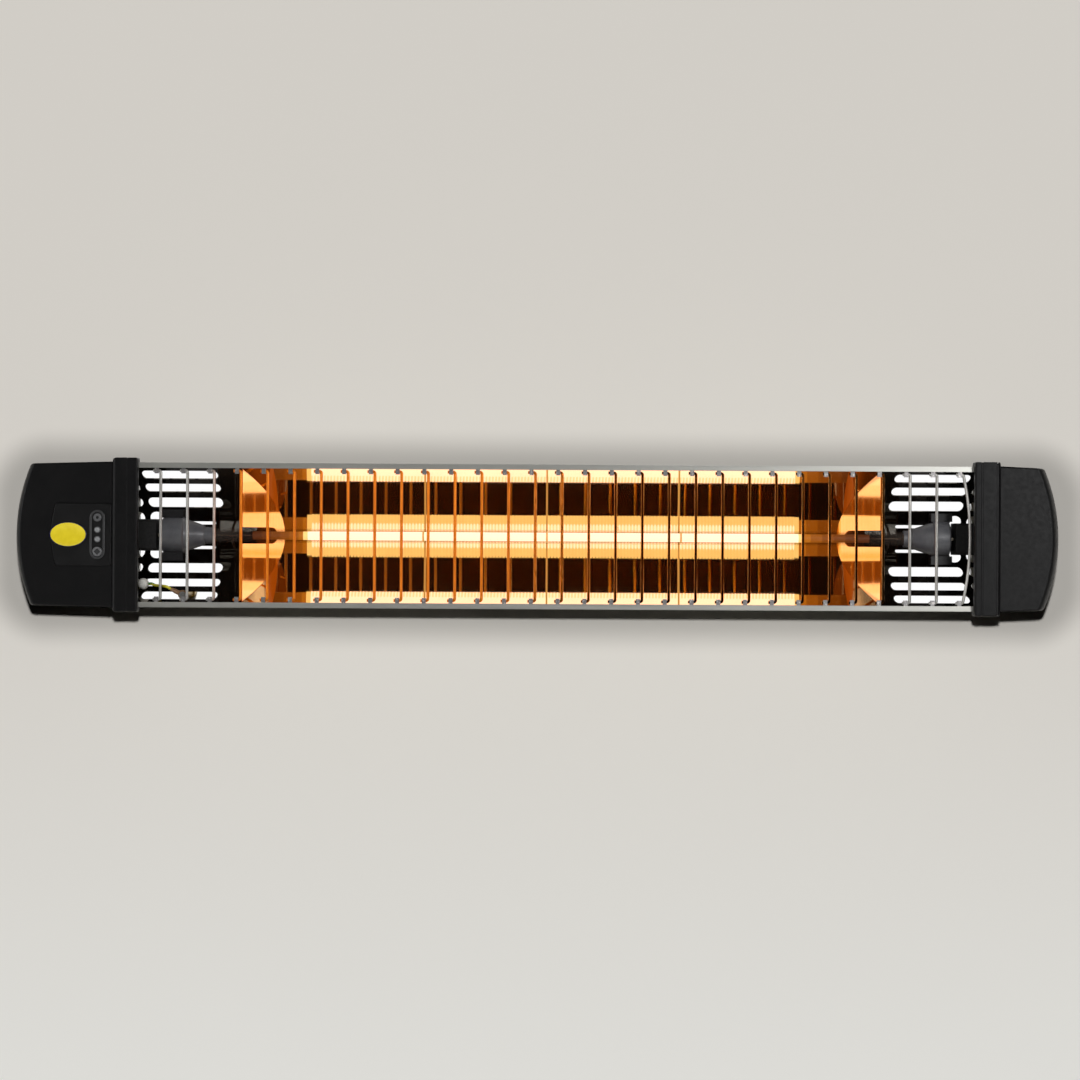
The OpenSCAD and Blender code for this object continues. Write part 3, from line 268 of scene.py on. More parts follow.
def strip_metal():
    """Guard strips: plain along the lips, dark with a pale spot where the tabs hold the wires."""
    s = Shader("guard_steel")
    z = s.math("ABSOLUTE", s.xyz()[2])
    plain = s.ramp(s.noise((0.01, 0.25, 0.25), 3.0), [(0.3, (0.50, 0.49, 0.46)), (0.7, (0.60, 0.59, 0.56))])
    spots = s.range(s.noise((0.45, 0.45, 0.45), 2.0), 0.52, 0.66, 0, 1, True)
    tab = s.mix(spots, (0.34, 0.33, 0.33), (0.78, 0.73, 0.71))
    lines = s.noise((0.012, 2.2, 2.2), 2.0)
    s.principled(
        color=s.mix(s.range(z, 49.9, 50.5, 0, 1), tab, plain),
        metal=0.7,
        rough=s.range(lines, 0.25, 0.75, 0.31, 0.45),
        normal=s.bump(lines, 0.004, 0.35),
    )


def glowing(name, color, strength, tint):
    """Hot metal that shines by itself, over a faint tint of its own."""
    s = Shader(name)
    s.principled(
        color=s.ramp(s.noise(0.6, 2.0), [(0.3, tint), (0.7, tuple(min(1, 1.2 * c) for c in tint))]),
        rough=0.6, emit=color, strength=strength,
    )


def quartz_glass():
    """Clear tube: a faint brown veil over the glowing length, greyer at its cool ends."""
    s = Shader("quartz")
    veil = s.noise(0.08, 3.0)
    warm = s.ramp(veil, [(0.3, (0.050, 0.011, 0.0008)), (0.7, (0.070, 0.016, 0.0014))])
    cool = s.ramp(veil, [(0.3, (0.12, 0.10, 0.085)), (0.7, (0.17, 0.145, 0.12))])
    s.principled(
        color=s.mix(s.range(s.math("ABSOLUTE", s.xyz()[0]), 205, 250, 0, 1, True), warm, cool),
        rough=s.range(s.noise(0.3, 2.0), 0.3, 0.7, 0.03, 0.08),
        alpha=0.14, spec=0.0,
    )


def ceramic_glaze():
    s = Shader("ceramic")
    speck = s.range(s.noise(3.5, 1.0), 0.62, 0.70, 0, 1)
    base = s.ramp(s.noise(0.12, 4.0), [(0.3, (0.070, 0.072, 0.080)), (0.7, (0.110, 0.111, 0.115))])
    s.principled(
        color=s.mix(speck, base, (0.12, 0.12, 0.13)),
        rough=s.range(s.noise(0.4, 3.0), 0.3, 0.7, 0.32, 0.48),
        normal=s.bump(s.noise(1.2, 3.0), 0.03, 0.3),
        coat=0.15, coat_rough=0.25,
    )


# Green share and strength of the fading glow beyond the coil, from the coil outwards
TAIL_GLOWS = ((0.30, 0.62), (0.27, 0.42), (0.25, 0.30), (0.24, 0.22), (0.22, 0.15), (0.2, 0.09))

brushed("housing_metal", (0.58, 0.58, 0.54), (0.66, 0.655, 0.61), 0.36, 0, metal=0.75)
mirror_metal()
strip_metal()
wire_metal()
shield_metal()
quartz_glass()
grained("coil_metal", (0.10, 0.07, 0.05), (0.20, 0.15, 0.11), metal=0.8)
ceramic_glaze()
grained("black_steel", (0.010, 0.010, 0.011), (0.020, 0.020, 0.021), (0.35, 0.5), metal=0.2)
grained("screw_steel", (0.36, 0.36, 0.35), (0.52, 0.52, 0.50), (0.28, 0.42), metal=0.9)
grained("black_rubber", (0.008, 0.008, 0.008), (0.014, 0.014, 0.014), (0.65, 0.8))
grained("lead_sleeve", (0.32, 0.28, 0.22), (0.42, 0.38, 0.30), (0.6, 0.75), 0.5, 2.5, 0.06)
plastic_black()
brushed("plate_metal", (0.50, 0.50, 0.48), (0.60, 0.60, 0.58), 0.4, 2)
grained("cover_plastic", (0.0038, 0.0038, 0.0041), (0.0052, 0.0052, 0.0055), (0.38, 0.48), 0.08, 2.4, 0.02)
grained("bezel_plastic", (0.030, 0.030, 0.031), (0.042, 0.042, 0.043), (0.35, 0.45))
grained("sensor_plastic", (0.07, 0.07, 0.073), (0.11, 0.11, 0.113), (0.3, 0.4))
grained("light_plastic", (0.22, 0.225, 0.23), (0.30, 0.305, 0.31), (0.25, 0.35))
# Painted shade for the status lights' rounded edges
grained("light_edge_shade", (0.07, 0.07, 0.073), (0.10, 0.10, 0.104), (0.3, 0.4))
grained("button_plastic", (0.11, 0.11, 0.113), (0.15, 0.15, 0.153), (0.3, 0.42))
grained("board_laminate", (0.010, 0.10, 0.045), (0.018, 0.15, 0.065), (0.35, 0.5), 0.4)
grained("component_plastic", (0.02, 0.05, 0.16), (0.03, 0.08, 0.22), (0.35, 0.5))
grained("board_wire", (0.10, 0.045, 0.020), (0.16, 0.07, 0.03), (0.45, 0.6))
grained("white_plastic", (0.62, 0.61, 0.58), (0.72, 0.71, 0.68), (0.4, 0.5))
grained("gland_plastic", (0.012, 0.012, 0.012), (0.020, 0.020, 0.020), (0.4, 0.5))
grained("earth_brass", (0.55, 0.38, 0.12), (0.70, 0.50, 0.18), (0.3, 0.45), metal=0.95)
grained("terminal_copper", (0.42, 0.24, 0.13), (0.60, 0.37, 0.22), (0.3, 0.45), metal=0.8)
grained("bush_white", (0.55, 0.54, 0.50), (0.68, 0.67, 0.63), (0.45, 0.6), 0.5)
grained("bracket_paint", (0.016, 0.016, 0.017), (0.026, 0.026, 0.027), (0.45, 0.6), 0.5, 2.2, 0.05)
grained("bolt_steel", (0.45, 0.45, 0.44), (0.62, 0.62, 0.60), (0.25, 0.38), metal=0.95)
glowing("coil_white", (1.0, 0.50, 0.34), 2.5, (0.4, 0.3, 0.2))
glowing("coil_cream", (1.0, 0.60, 0.42), 2.5, (0.4, 0.3, 0.2))
glowing("coil_pale", (1.0, 0.60, 0.30), 1.95, (0.4, 0.28, 0.15))
glowing("coil_gold", (1.0, 0.60, 0.19), 1.5, (0.4, 0.25, 0.1))
glowing("coil_amber", (1.0, 0.56, 0.17), 1.5, (0.4, 0.25, 0.1))
glowing("support_glow", (1.0, 0.5, 0.12), 0.8, (0.3, 0.2, 0.1))
for i, (green, strength) in enumerate(TAIL_GLOWS):
    glowing(f"tail_{i}", (1.0, green, 0.06 * green), strength, (0.06, 0.025, 0.012))
grained("badge_yellow", (0.82, 0.64, 0.022), (0.92, 0.74, 0.035), (0.16, 0.24), 0.15, 1.2,
        0.006, coat=0.5, coat_rough=0.08)
grained("badge_navy", (0.012, 0.014, 0.055), (0.020, 0.024, 0.085), (0.2, 0.3), 0.5)
grained("earth_yellow", (0.55, 0.48, 0.03), (0.68, 0.60, 0.05), (0.4, 0.5))
grained("earth_green", (0.02, 0.13, 0.03), (0.035, 0.19, 0.045), (0.4, 0.5))

# Carried CAD nodes by their material
CARRIED = {
    "housing_metal": "housing",
    "shield_mirror": "left_end_shield right_end_shield",
    "guard_steel": "upper_guard_strip lower_guard_strip",
    "wire_steel": "guard_wires",
    "quartz": "quartz_tube",
    "support_glow": "coil_supports",
    "coil_metal": "coil_leads",
    "ceramic": "left_lamp_holder right_lamp_holder",
    "black_steel": "left_holder_cradle right_holder_cradle",
    "screw_steel": "cradle_screws cap_screws board_screws earth_screw bracket_screws",
    "black_rubber": "left_lead_boot right_lead_boot left_gasket right_gasket gland_seal",
    "lead_sleeve": "left_lamp_lead right_lamp_lead",
    "plate_metal": "left_end_plate right_end_plate",
    "bezel_plastic": "keypad_bezel",
    "sensor_plastic": "sensor_window",
    "light_plastic": "status_lights",
    "button_plastic": "power_button",
    "board_laminate": "control_board",
    "component_plastic": "board_components",
    "board_wire": "board_leads",
    "white_plastic": "terminal_block",
    "gland_plastic": "cable_gland gland_nut gland_locknut",
    "earth_brass": "earth_post",
    "terminal_copper": "ring_terminal",
    "bush_white": "wire_bush",
    "bracket_paint": "tilt_bracket wall_bracket",
    "bolt_steel": "pivot_bolts pivot_washers pivot_nuts",
}
NODE_MATS = {node: mat for mat, names in CARRIED.items() for node in names.split()}


# Mesh helpers
def smoothing_group():
    """Modifier that welds a CAD mesh and shades it smooth but for its sharp edges."""
    g = bpy.data.node_groups.new("weld_and_smooth", "GeometryNodeTree")
    g.interface.new_socket("Geometry", in_out="INPUT", socket_type="NodeSocketGeometry")
    g.interface.new_socket("Geometry", in_out="OUTPUT", socket_type="NodeSocketGeometry")
    new, link = g.nodes.new, g.links.new
    start, end = new("NodeGroupInput"), new("NodeGroupOutput")
    drop = new("GeometryNodeRemoveAttribute")
    drop.inputs["Name"].default_value = "custom_normal"
    weld = new("GeometryNodeMergeByDistance")
    weld.inputs["Distance"].default_value = WELD
    smooth = new("GeometryNodeSetShadeSmooth")
    sharp = new("GeometryNodeSetShadeSmooth")
    sharp.domain = "EDGE"
    sharp.inputs["Shade Smooth"].default_value = False
    angle = new("GeometryNodeInputMeshEdgeAngle")
    more = new("FunctionNodeCompare")
    more.inputs[1].default_value = math.radians(24)
    link(start.outputs[0], drop.inputs["Geometry"])
    link(drop.outputs["Geometry"], weld.inputs["Geometry"])
    link(weld.outputs["Geometry"], smooth.inputs["Geometry"])
    link(smooth.outputs["Geometry"], sharp.inputs["Geometry"])
    link(angle.outputs["Unsigned Angle"], more.inputs[0])
    link(more.outputs[0], sharp.inputs["Selection"])
    link(sharp.outputs["Geometry"], end.inputs[0])
    return g


def body_of(node):
    return next(b for b, members in frame["record"]["behaviour"]["bodies"].items() if node in members)


def piece(name, verts, faces, mats, node, indices=None):
    """New mesh piece from points in millimetres; it stands for a CAD node and rides on its body."""
    me = bpy.data.meshes.new(name)
    me.from_pydata([tuple(c * MM for c in v) for v in verts], [], faces)
    for m in mats:
        me.materials.append(MATS[m])
    if indices:
        me.polygons.foreach_set("material_index", indices)
    me.polygons.foreach_set("use_smooth", [True] * len(me.polygons))
    me.update()
    obj = bpy.data.objects.new(name, me)
    scene.collection.objects.link(obj)
    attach(obj, body_of(node))
    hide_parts(node)
    return obj


def sharp_edges(obj, degrees):
    """Marks edges sharper than an angle, so that smooth shading stops at them."""
    bm = bmesh.new()
    bm.from_mesh(obj.data)
    for e in bm.edges:
        e.smooth = not (len(e.link_faces) == 2 and e.calc_face_angle(0) > math.radians(degrees))
    bm.to_mesh(obj.data)
    bm.free()


def loft(rings, split=False):
    """Closed solid through rings of as many points each, in millimetres."""
    bm = bmesh.new()
    rows = [[bm.verts.new(tuple(c * MM for c in p)) for p in ring] for ring in rings]
    bm.faces.new(rows[0])
    bm.faces.new(rows[-1][::-1])
    for a, b in zip(rows, rows[1:]):
        for i in range(len(a)):
            k = (i + 1) % len(a)
            bm.faces.new((a[i], b[i], b[k], a[k]))
    if split:
        bmesh.ops.triangulate(bm, faces=bm.faces)
    bmesh.ops.recalc_face_normals(bm, faces=bm.faces)
    me = bpy.data.meshes.new("solid")
    bm.to_mesh(me)
    bm.free()
    obj = bpy.data.objects.new("solid", me)
    scene.collection.objects.link(obj)
    return obj


def prism(outline, axis, lo, hi):
    """Closed solid from an outline drawn in the plane across an axis (0 for X, 1 for Y), in millimetres."""
    if axis == 0:
        return loft([[(h, LIP_Y + a, b) for a, b in outline] for h in (lo, hi)])
    return loft([[(a, LIP_Y + h, b) for a, b in outline] for h in (lo, hi)])


def disc(cx, cz, r):
    steps = 32
    return [(cx + r * math.cos(2 * math.pi * i / steps), cz + r * math.sin(2 * math.pi * i / steps))
            for i in range(steps)]


def combine(a, b, operation):
    """Applies a boolean to a, and removes b."""
    m = a.modifiers.new("boolean", "BOOLEAN")
    m.operation, m.object, m.solver = operation, b, "EXACT"
    done = bpy.data.meshes.new_from_object(a.evaluated_get(bpy.context.evaluated_depsgraph_get()))
    a.modifiers.clear()
    a.data = done
    bpy.data.objects.remove(b)
    return a


def round_edges(obj, width, segments=4, chosen=lambda pts: True):
    """Merges flat faces, then rounds the edges sharper than 30 degrees."""
    bm = bmesh.new()
    bm.from_mesh(obj.data)
    bmesh.ops.remove_doubles(bm, verts=bm.verts, dist=WELD)
    bmesh.ops.dissolve_limit(bm, angle_limit=math.radians(0.4), verts=bm.verts, edges=bm.edges)
    edges = [e for e in bm.edges if len(e.link_faces) == 2 and e.calc_face_angle(0) > math.radians(30)
             and chosen([v.co / MM for v in e.verts])]
    bmesh.ops.bevel(bm, geom=edges, offset=width * MM, segments=segments, profile=0.5, affect="EDGES",
                    clamp_overlap=False)
    bm.to_mesh(obj.data)
    bm.free()
    return obj


def finish_piece(obj, name, mat, node):
    """Names, shades and binds a solid; it stands for a CAD node and rides on its body."""
    obj.name = name
    obj.data.materials.clear()
    obj.data.materials.append(MATS[mat])
    obj.data.polygons.foreach_set("material_index", [0] * len(obj.data.polygons))
    obj.data.polygons.foreach_set("use_smooth", [True] * len(obj.data.polygons))
    sharp_edges(obj, 32)
    weighted = obj.modifiers.new("weighted", "WEIGHTED_NORMAL")
    weighted.keep_sharp = True
    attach(obj, body_of(node))
    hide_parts(node)


# Carried CAD nodes
smoothing = smoothing_group()
for name, obj in nodes.items():
    obj.modifiers.new("weld_and_smooth", "NODES").node_group = smoothing
    if name in NODE_MATS:
        obj.data.materials.clear()
        obj.data.materials.append(MATS[NODE_MATS[name]])
        obj.data.polygons.foreach_set("material_index", [0] * len(obj.data.polygons))


# Reflector
RIM, RIM_D, FLOOR_D = 50.1, 3.9, 56.0           # height and depth of its rim, depth of its middle
PARABOLA_K = RIM * RIM / (FLOOR_D - RIM_D)
SHEET = 0.8                                     # thickness
HALF_L = 326.8
MIRROR_X = 250.0                                # beyond this it has slots
# Heights, and how far the rolled sheet leans off the true curve there, in radians
SHEET_LEANS = ((0, 0), (14.5, -0.0015), (16.4, 0.0), (18, 0.0048), (20, 0.0088), (24, 0.0127), (28, 0.0146),
               (32, 0.0164), (36, 0.0162), (40, 0.0136), (41.5, 0.0122), (43, 0.0102), (46, 0.0054), (50.2, 0.0))
# Heights and widths of the slots as shares of the rim, their spans in X, and the louvres: span, height, width
SLOT_SHARES = [(0.494, 0.15), (0.712, 0.122), (0.9, 0.119)]
SLOT_SPANS = [(254.3, 311.3), (315.3, 324.3)]
LOUVRES = [(261, 298.5, 9.3, 2.6), (300.5, 311.3, 12.9, 9.8), (315.3, 324.3, 12.9, 9.8)]


def sheet_lean(u):
    """How far the rolled sheet leans off the true curve at a height, in radians."""
    for (a, fa), (b, fb) in zip(SHEET_LEANS, SHEET_LEANS[1:]):
        if u <= b:
            return fa + (fb - fa) * (u - a) / (b - a)
    return 0.0


def mirror_at(u, t=0.0):
    """Depth and height of the mirror face at a height, moved back by a thickness, with its normal."""
    slope = 2 * u / PARABOLA_K
    n = math.sqrt(1 + slope * slope)
    lean = math.atan(slope) + math.copysign(sheet_lean(abs(u)), u)
    return FLOOR_D - u * u / PARABOLA_K + t / n, u + t * slope / n, (-math.cos(lean), -math.sin(lean))


def stadium(x0, x1, z, h, steps=8):
    """Outline of a slot with round ends."""
    r = h / 2
    left = [(x0 + r - r * math.cos(a), z + r * math.sin(a))
            for a in [math.pi / 2 - math.pi * i / steps for i in range(steps + 1)]]
    right = [(x1 - r + r * math.cos(a), z + r * math.sin(a))
             for a in [-math.pi / 2 + math.pi * i / steps for i in range(steps + 1)]]
    return left + right


def in_stadium(x, z, s):
    x0, x1, zc, h = s
    r = h / 2
    dx = max(x0 + r - x, 0, x - (x1 - r))
    return dx * dx + (z - zc) ** 2 < r * r * 0.9999


def reflector():
    rows = 120
    us = [RIM * (2 * i / rows - 1) for i in range(rows + 1)]
    flat, faces = [], []
    columns = 24
    for j in range(columns + 1):
        for u in us:
            flat.append((-MIRROR_X + 2 * MIRROR_X * j / columns, u))
    n = rows + 1
    for j in range(columns):
        for i in range(rows):
            faces.append((j * n + i, (j + 1) * n + i, (j + 1) * n + i + 1, j * n + i + 1))
    slots = [(a, b, row * RIM * s, RIM * h) for a, b in SLOT_SPANS for s, h in SLOT_SHARES for row in (-1, 1)]
    slots += [(a, b, row * z, h) for a, b, z, h in LOUVRES for row in (-1, 1)]
    loops = []
    for side in (-1, 1):
        pts, edges = [], []
        for x in (MIRROR_X, HALF_L):
            base = len(pts)
            pts += [(x, u) for u in us]
            edges += [(base + i, base + i + 1) for i in range(rows)]
        edges += [(0, n), (rows, n + rows)]
        rings = []
        for s in slots:
            ring = stadium(*s)
            base = len(pts)
            pts += ring
            edges += [(base + i, base + (i + 1) % len(ring)) for i in range(len(ring))]
            rings.append((base, len(ring)))
        step, room = 3.2, 0.4
        grown = [(a - room, b + room, z, h + 2 * room) for a, b, z, h in slots]
        for j in range(1, int((HALF_L - MIRROR_X) / step)):
            x = MIRROR_X + j * step
            for u in us[1:-1]:
                if not any(in_stadium(x, u, g) for g in grown):
                    pts.append((x, u))
        out = delaunay_2d_cdt([Vector(p) for p in pts], edges, [], 0, 1e-5)
        v2, f2 = out[0], out[2]
        base = len(flat)
        flat += [(side * v.x, v.y) for v in v2]
        for f in f2:
            c = sum((v2[i] for i in f), Vector((0, 0))) / len(f)
            if any(in_stadium(c.x, c.y, s) for s in slots):
                continue
            tri = tuple(base + i for i in f)
            faces.append(tri if side > 0 else tri[::-1])
        for s in slots:
            ring = stadium(*s)
            loops.append([(side * x, z) for x, z in (ring if side > 0 else ring[::-1])])
    verts, normals = [], []
    for t, flip in ((0.0, 1), (SHEET, -1)):
        for x, u in flat:
            d, z, nrm = mirror_at(u, t)
            verts.append((x, LIP_Y + d, z))
            normals.append((0.0, flip * nrm[0], flip * nrm[1]))
    count = len(flat)
    out_faces = [tuple(f) for f in faces] + [tuple(count + i for i in f[::-1]) for f in faces]
    for ring in loops + [[(-HALF_L, u) for u in us[::-1]] + [(HALF_L, u) for u in us]]:
        base = len(verts)
        m = len(ring)
        for i, (x, u) in enumerate(ring):
            a, b = ring[i - 1], ring[(i + 1) % m]
            tx, tz = b[0] - a[0], b[1] - a[1]
            ln = math.hypot(tx, tz) or 1
            for t in (0.0, SHEET):
                d, z, _ = mirror_at(u, t)
                verts.append((x, LIP_Y + d, z))
                normals.append((tz / ln, 0.0, -tx / ln))
        for i in range(m):
            k = (i + 1) % m
            out_faces.append((base + 2 * i, base + 2 * k, base + 2 * k + 1, base + 2 * i + 1))
    z0, z1, d0, d1 = RIM, RIM + 1.9, RIM_D - SHEET, RIM_D + SHEET / 2
    for row in (-1, 1):
        base = len(verts)
        for x in (-HALF_L, HALF_L):
            for d, z in ((d0, z0), (d0, z1), (d1, z1), (d1, z0)):
                verts.append((x, LIP_Y + d, row * z))
                normals.append((0.0, -1.0 if d == d0 else 1.0, 0.0))
        for a, b in ((0, 1), (1, 2), (2, 3), (3, 0)):
            out_faces.append((base + a, base + b, base + 4 + b, base + 4 + a))
    obj = piece("mirror_trough", verts, out_faces, ["reflector_mirror"], "reflector")
    obj.data.normals_split_custom_set_from_vertices(normals)


reflector()


# Lamp
LAMP_D = 40.3
COIL_L, COIL_R = -189.0, 185.0
TAIL_L, TAIL_R = -231.0, 239.0


def tube_mesh(points, radius, sides):
    """Round bar along points: vertices and quads with open ends."""
    verts, faces = [], []
    side = None
    for i, p in enumerate(points):
        a, b = points[max(i - 1, 0)], points[min(i + 1, len(points) - 1)]
        t = (b - a).normalized()
        if side is None:
            side = t.orthogonal().normalized()
        side = (side - t * side.dot(t)).normalized()
        up = t.cross(side)
        for k in range(sides):
            ang = 2 * math.pi * k / sides
            verts.append(tuple(p + radius * (math.cos(ang) * side + math.sin(ang) * up)))
    for i in range(len(points) - 1):
        for k in range(sides):
            q = (k + 1) % sides
            faces.append((i * sides + k, i * sides + q, (i + 1) * sides + q, (i + 1) * sides + k))
    faces.append(tuple(range(sides))[::-1])
    faces.append(tuple((len(points) - 1) * sides + k for k in range(sides)))
    return verts, faces


def lamp_coil():
    """Wound coil as a ridged bar, brightest where its turns face out."""
    y = LIP_Y + LAMP_D
    pitch, ridge, groove = 2.5, 3.26, 3.2
    half = (5.5, 11, 16, 22, 38, 56, 76, 100, 126, 152, 180)
    angles = [math.radians(a) for a in [-v for v in half[::-1]] + list(half)]
    around = len(angles)
    profile = ((0.0, groove), (0.22, ridge - 0.015), (0.45, ridge), (0.68, ridge - 0.015))
    verts, faces, indices = [], [], []
    turns = int((COIL_R - COIL_L) / pitch) + 1
    for t in range(-1, turns + 1):
        for share, r in profile:
            for a in angles:
                x = COIL_L + pitch * (t + share + a / (2 * math.pi))
                if not COIL_L < x < COIL_R:
                    x, r_here = (COIL_L if x <= COIL_L else COIL_R), groove
                else:
                    r_here = r
                verts.append((x, y + r_here * math.cos(a), r_here * math.sin(a)))
    rings = len(verts) // around
    for j in range(rings - 1):
        deep = j % len(profile) in (0, 3)
        for k in range(around - 1):
            faces.append((j * around + k, j * around + k + 1, (j + 1) * around + k + 1, (j + 1) * around + k))
            turn = abs(math.degrees(angles[k] + angles[k + 1])) / 2
            if 5 < turn < 22:
                indices.append(3 if deep else 2)
            elif turn < 130:
                indices.append(1 if deep and turn < 80 else 4)
            else:
                indices.append(0)
    for j in (0, rings - 1):
        ring = tuple(j * around + k for k in range(around - 1))
        faces.append(ring if j else ring[::-1])
        indices.append(0)
    coil = piece("lamp_coil", verts, faces,
                 ["coil_white", "coil_pale", "coil_gold", "coil_amber", "coil_cream"],
                 "heating_coil", indices)
    bm = bmesh.new()
    bm.from_mesh(coil.data)
    bmesh.ops.remove_doubles(bm, verts=bm.verts, dist=1e-7)
    bmesh.ops.dissolve_degenerate(bm, edges=bm.edges, dist=1e-8)
    bm.to_mesh(coil.data)
    bm.free()
    lo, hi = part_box("quartz_tube")
    verts, faces, indices = [], [], []
    fading, metal, gold = None, 6, 7
    for start, end, tube_end in ((COIL_L, TAIL_L, lo[0] / MM), (COIL_R, TAIL_R, hi[0] / MM)):
        side = math.copysign(1, end)
        runs = [(start, start + 3.5 * side, 3.2, 4, 16, gold), (start + 3.5 * side, end, 3.1, 80, 16, fading),
                (end, tube_end - 9 * side, 0.6, 4, 10, metal), (tube_end - 10 * side, tube_end, 4.0, 2, 20, metal)]
        for x0, x1, r, steps, sides, mat in runs:
            bar, quads = tube_mesh([Vector((x0 + (x1 - x0) * i / steps, y, 0)) for i in range(steps + 1)], r, sides)
            base = len(verts)
            verts += bar
            for f in quads:
                share = sum(abs(bar[i][0] - start) for i in f) / len(f) / abs(end - start)
                faces.append(tuple(base + i for i in f))
                indices.append(min(5, int(share * 6)) if mat is fading else mat)
    mats = [f"tail_{i}" for i in range(6)] + ["coil_metal", "coil_gold"]
    piece("lamp_tails", verts, faces, mats, "coil_leads", indices)


lamp_coil()


# End caps and cover
FLANK_X = 328.7     # a cap's front plate begins here, under its collar
CAP_FRONT = -3.5    # depth of the caps' fronts
KEYPAD_X = 341.6


def body_outline(grow, front):
    """Housing outline across X, grown outwards, as depths and heights."""
    steps = 18
    half = 54 + grow
    rz, ry = half - 26, 46 + grow
    arc = [math.pi / 2 * i / steps for i in range(steps + 1)]
    low = [(26 + ry * math.sin(a), -26 - rz * math.cos(a)) for a in arc]
    return [(front, -half)] + low + [(d, -z) for d, z in low[::-1]] + [(front, half)]


def cap_outline(outer, inset):
    """Front outline of a cap beyond its collar, with its bulged outer side."""
    bulge, half = 10.6, 52.5
    r = (half ** 2 + bulge ** 2) / (2 * bulge)
    cx, near = outer - 1.1 - r, 54.5 - inset
    r -= inset
    lo, hi = 0.0, math.pi / 2
    for _ in range(40):
        mid = (lo + hi) / 2
        edge = near - 2 * (cx + r * math.cos(mid) - FLANK_X) / (outer - FLANK_X)
        lo, hi = (mid, hi) if r * math.sin(mid) < edge else (lo, mid)
    arc = [lo * (1 - i / 20) for i in range(41)]
    return [(FLANK_X, near)] + [(cx + r * math.cos(a), r * math.sin(a)) for a in arc] + [(FLANK_X, -near)]


def rounded_outline(points, r):
    """Outline with its corners sharper than 40 degrees rounded."""
    steps = 5
    out = []
    n = len(points)
    for i, p in enumerate(points):
        p, a, b = Vector(p), Vector(points[i - 1]), Vector(points[(i + 1) % n])
        u, v = (a - p).normalized(), (b - p).normalized()
        turn = math.pi - u.angle(v)
        if turn < math.radians(40):
            out.append(tuple(p))
            continue
        back = r * math.tan(turn / 2)
        p0, p1 = p + u * back, p + v * back
        for k in range(steps + 1):
            t = k / steps
            out.append(tuple((1 - t) ** 2 * p0 + 2 * t * (1 - t) * p + t * t * p1))
    return out


def cover_outline(outer, grow, corner):
    """Front outline of the control cover, with the cap's bulge on its outer side."""
    r0 = (52.5 ** 2 + 13 ** 2) / 26
    cx, half, right = outer - r0, 23.25 + grow, 331.5 - grow
    r = 376 + grow - cx
    top = math.asin(half / r)
    arc = [top * (1 - i / 8) for i in range(17)]
    pts = [(right, half)] + [(cx + r * math.cos(a), r * math.sin(a)) for a in arc] + [(right, -half)]
    return rounded_outline(pts, corner)


def cap_solid(outer, inset, front, x0, swell):
    """Cap beyond its collar: its front outline, whose outer side curves in to the front, in its side outline."""
    sink, deep = swell
    levels = [-8, CAP_FRONT] + [CAP_FRONT + deep * (1 - math.cos(math.pi / 2 * i / 10)) for i in range(1, 11)] + [78]
    rings = []
    for d in levels:
        t = min(1.0, max(0.0, 1 - (d - CAP_FRONT) / deep))
        rings.append([(x, LIP_Y + d, z) for x, z in cap_outline(outer - sink * (1 - math.sqrt(1 - t * t)), inset)])
    return combine(loft(rings, True), prism(body_outline(0.5 - inset, front), 0, x0, outer + 2), "INTERSECT")


def quarter(x0, x1, depth, steps=4):
    """Places and insets of a rounded edge, from its full inset to none."""
    arc = [math.pi / 2 * i / steps for i in range(steps + 1)]
    return [(x0 + (x1 - x0) * (1 - math.cos(a)), depth * (1 - math.sin(a))) for a in arc]


COLLAR_EDGES = {
    -1: quarter(311.5, 312.8, 1.3) + [(318.7, 0), (319.1, 0.22), (319.6, 0.22), (320, 0)]
        + quarter(330.5, 327.5, 2.6, 5)[::-1],
    1: quarter(311.5, 312.8, 1.3) + [(316, 0), (316.5, 0.35), (317.4, 0.35), (317.9, 0), (327.5, 0), (327.9, 1.0),
                                     (329.2, 1.0), (329.5, 0.1), (330, 0.3), (330.5, 0.9)],
}


def flip_x(obj, side):
    if side < 0:
        for v in obj.data.vertices:
            v.co.x = -v.co.x
        obj.data.flip_normals()
    return obj


def end_cap(node, name, side, outer, swell):
    cap = round_edges(cap_solid(outer, 0, CAP_FRONT, 329.7, swell), 1.5)
    combine(cap, cap_solid(outer, 2.6, -0.5, 329.0, swell), "DIFFERENCE")
    collar = loft([[(x, LIP_Y + d, z) for d, z in rounded_outline(body_outline(3.5 - k, -6 + k), 1.4)]
                   for x, k in COLLAR_EDGES[side]])
    step = [(311, -8), (331, -8), (331, 90), (322.5, 90), (322.5, 40.3), (317.6, 40.3), (311.5, 1.5), (311, 1.5)]
    combine(collar, loft([[(x, LIP_Y + d, z) for x, d in step] for z in (-60, 60)]), "INTERSECT")
    combine(collar, prism(body_outline(0.2, -0.2), 0, 310, 329.7), "DIFFERENCE")
    for row in (-1, 1):
        for r, z0, z1 in ((3.2, 55.9, 60), (1.65, 50, 60)):
            well = prism(disc(321, 20, r), 1, z0, z1)
            for v in well.data.vertices:
                x, y, z = v.co
                v.co = (x, z + LIP_Y * MM, row * (y - LIP_Y * MM))
            if row < 0:
                well.data.flip_normals()
            combine(collar, well, "DIFFERENCE")
    if side < 0:
        combine(cap, prism(cover_outline(outer, 0.35, 2.6), 1, -8, -1.9), "DIFFERENCE")
        combine(cap, prism(cover_outline(outer, -1.8, 1.5), 1, -8, 1), "DIFFERENCE")
    bm = bmesh.new()
    bm.from_mesh(cap.data)
    bm.from_mesh(collar.data)
    bmesh.ops.dissolve_degenerate(bm, edges=bm.edges, dist=1e-7)
    bm.to_mesh(cap.data)
    bm.free()
    bpy.data.objects.remove(collar)
    finish_piece(flip_x(cap, side), name, "cap_plastic", node)


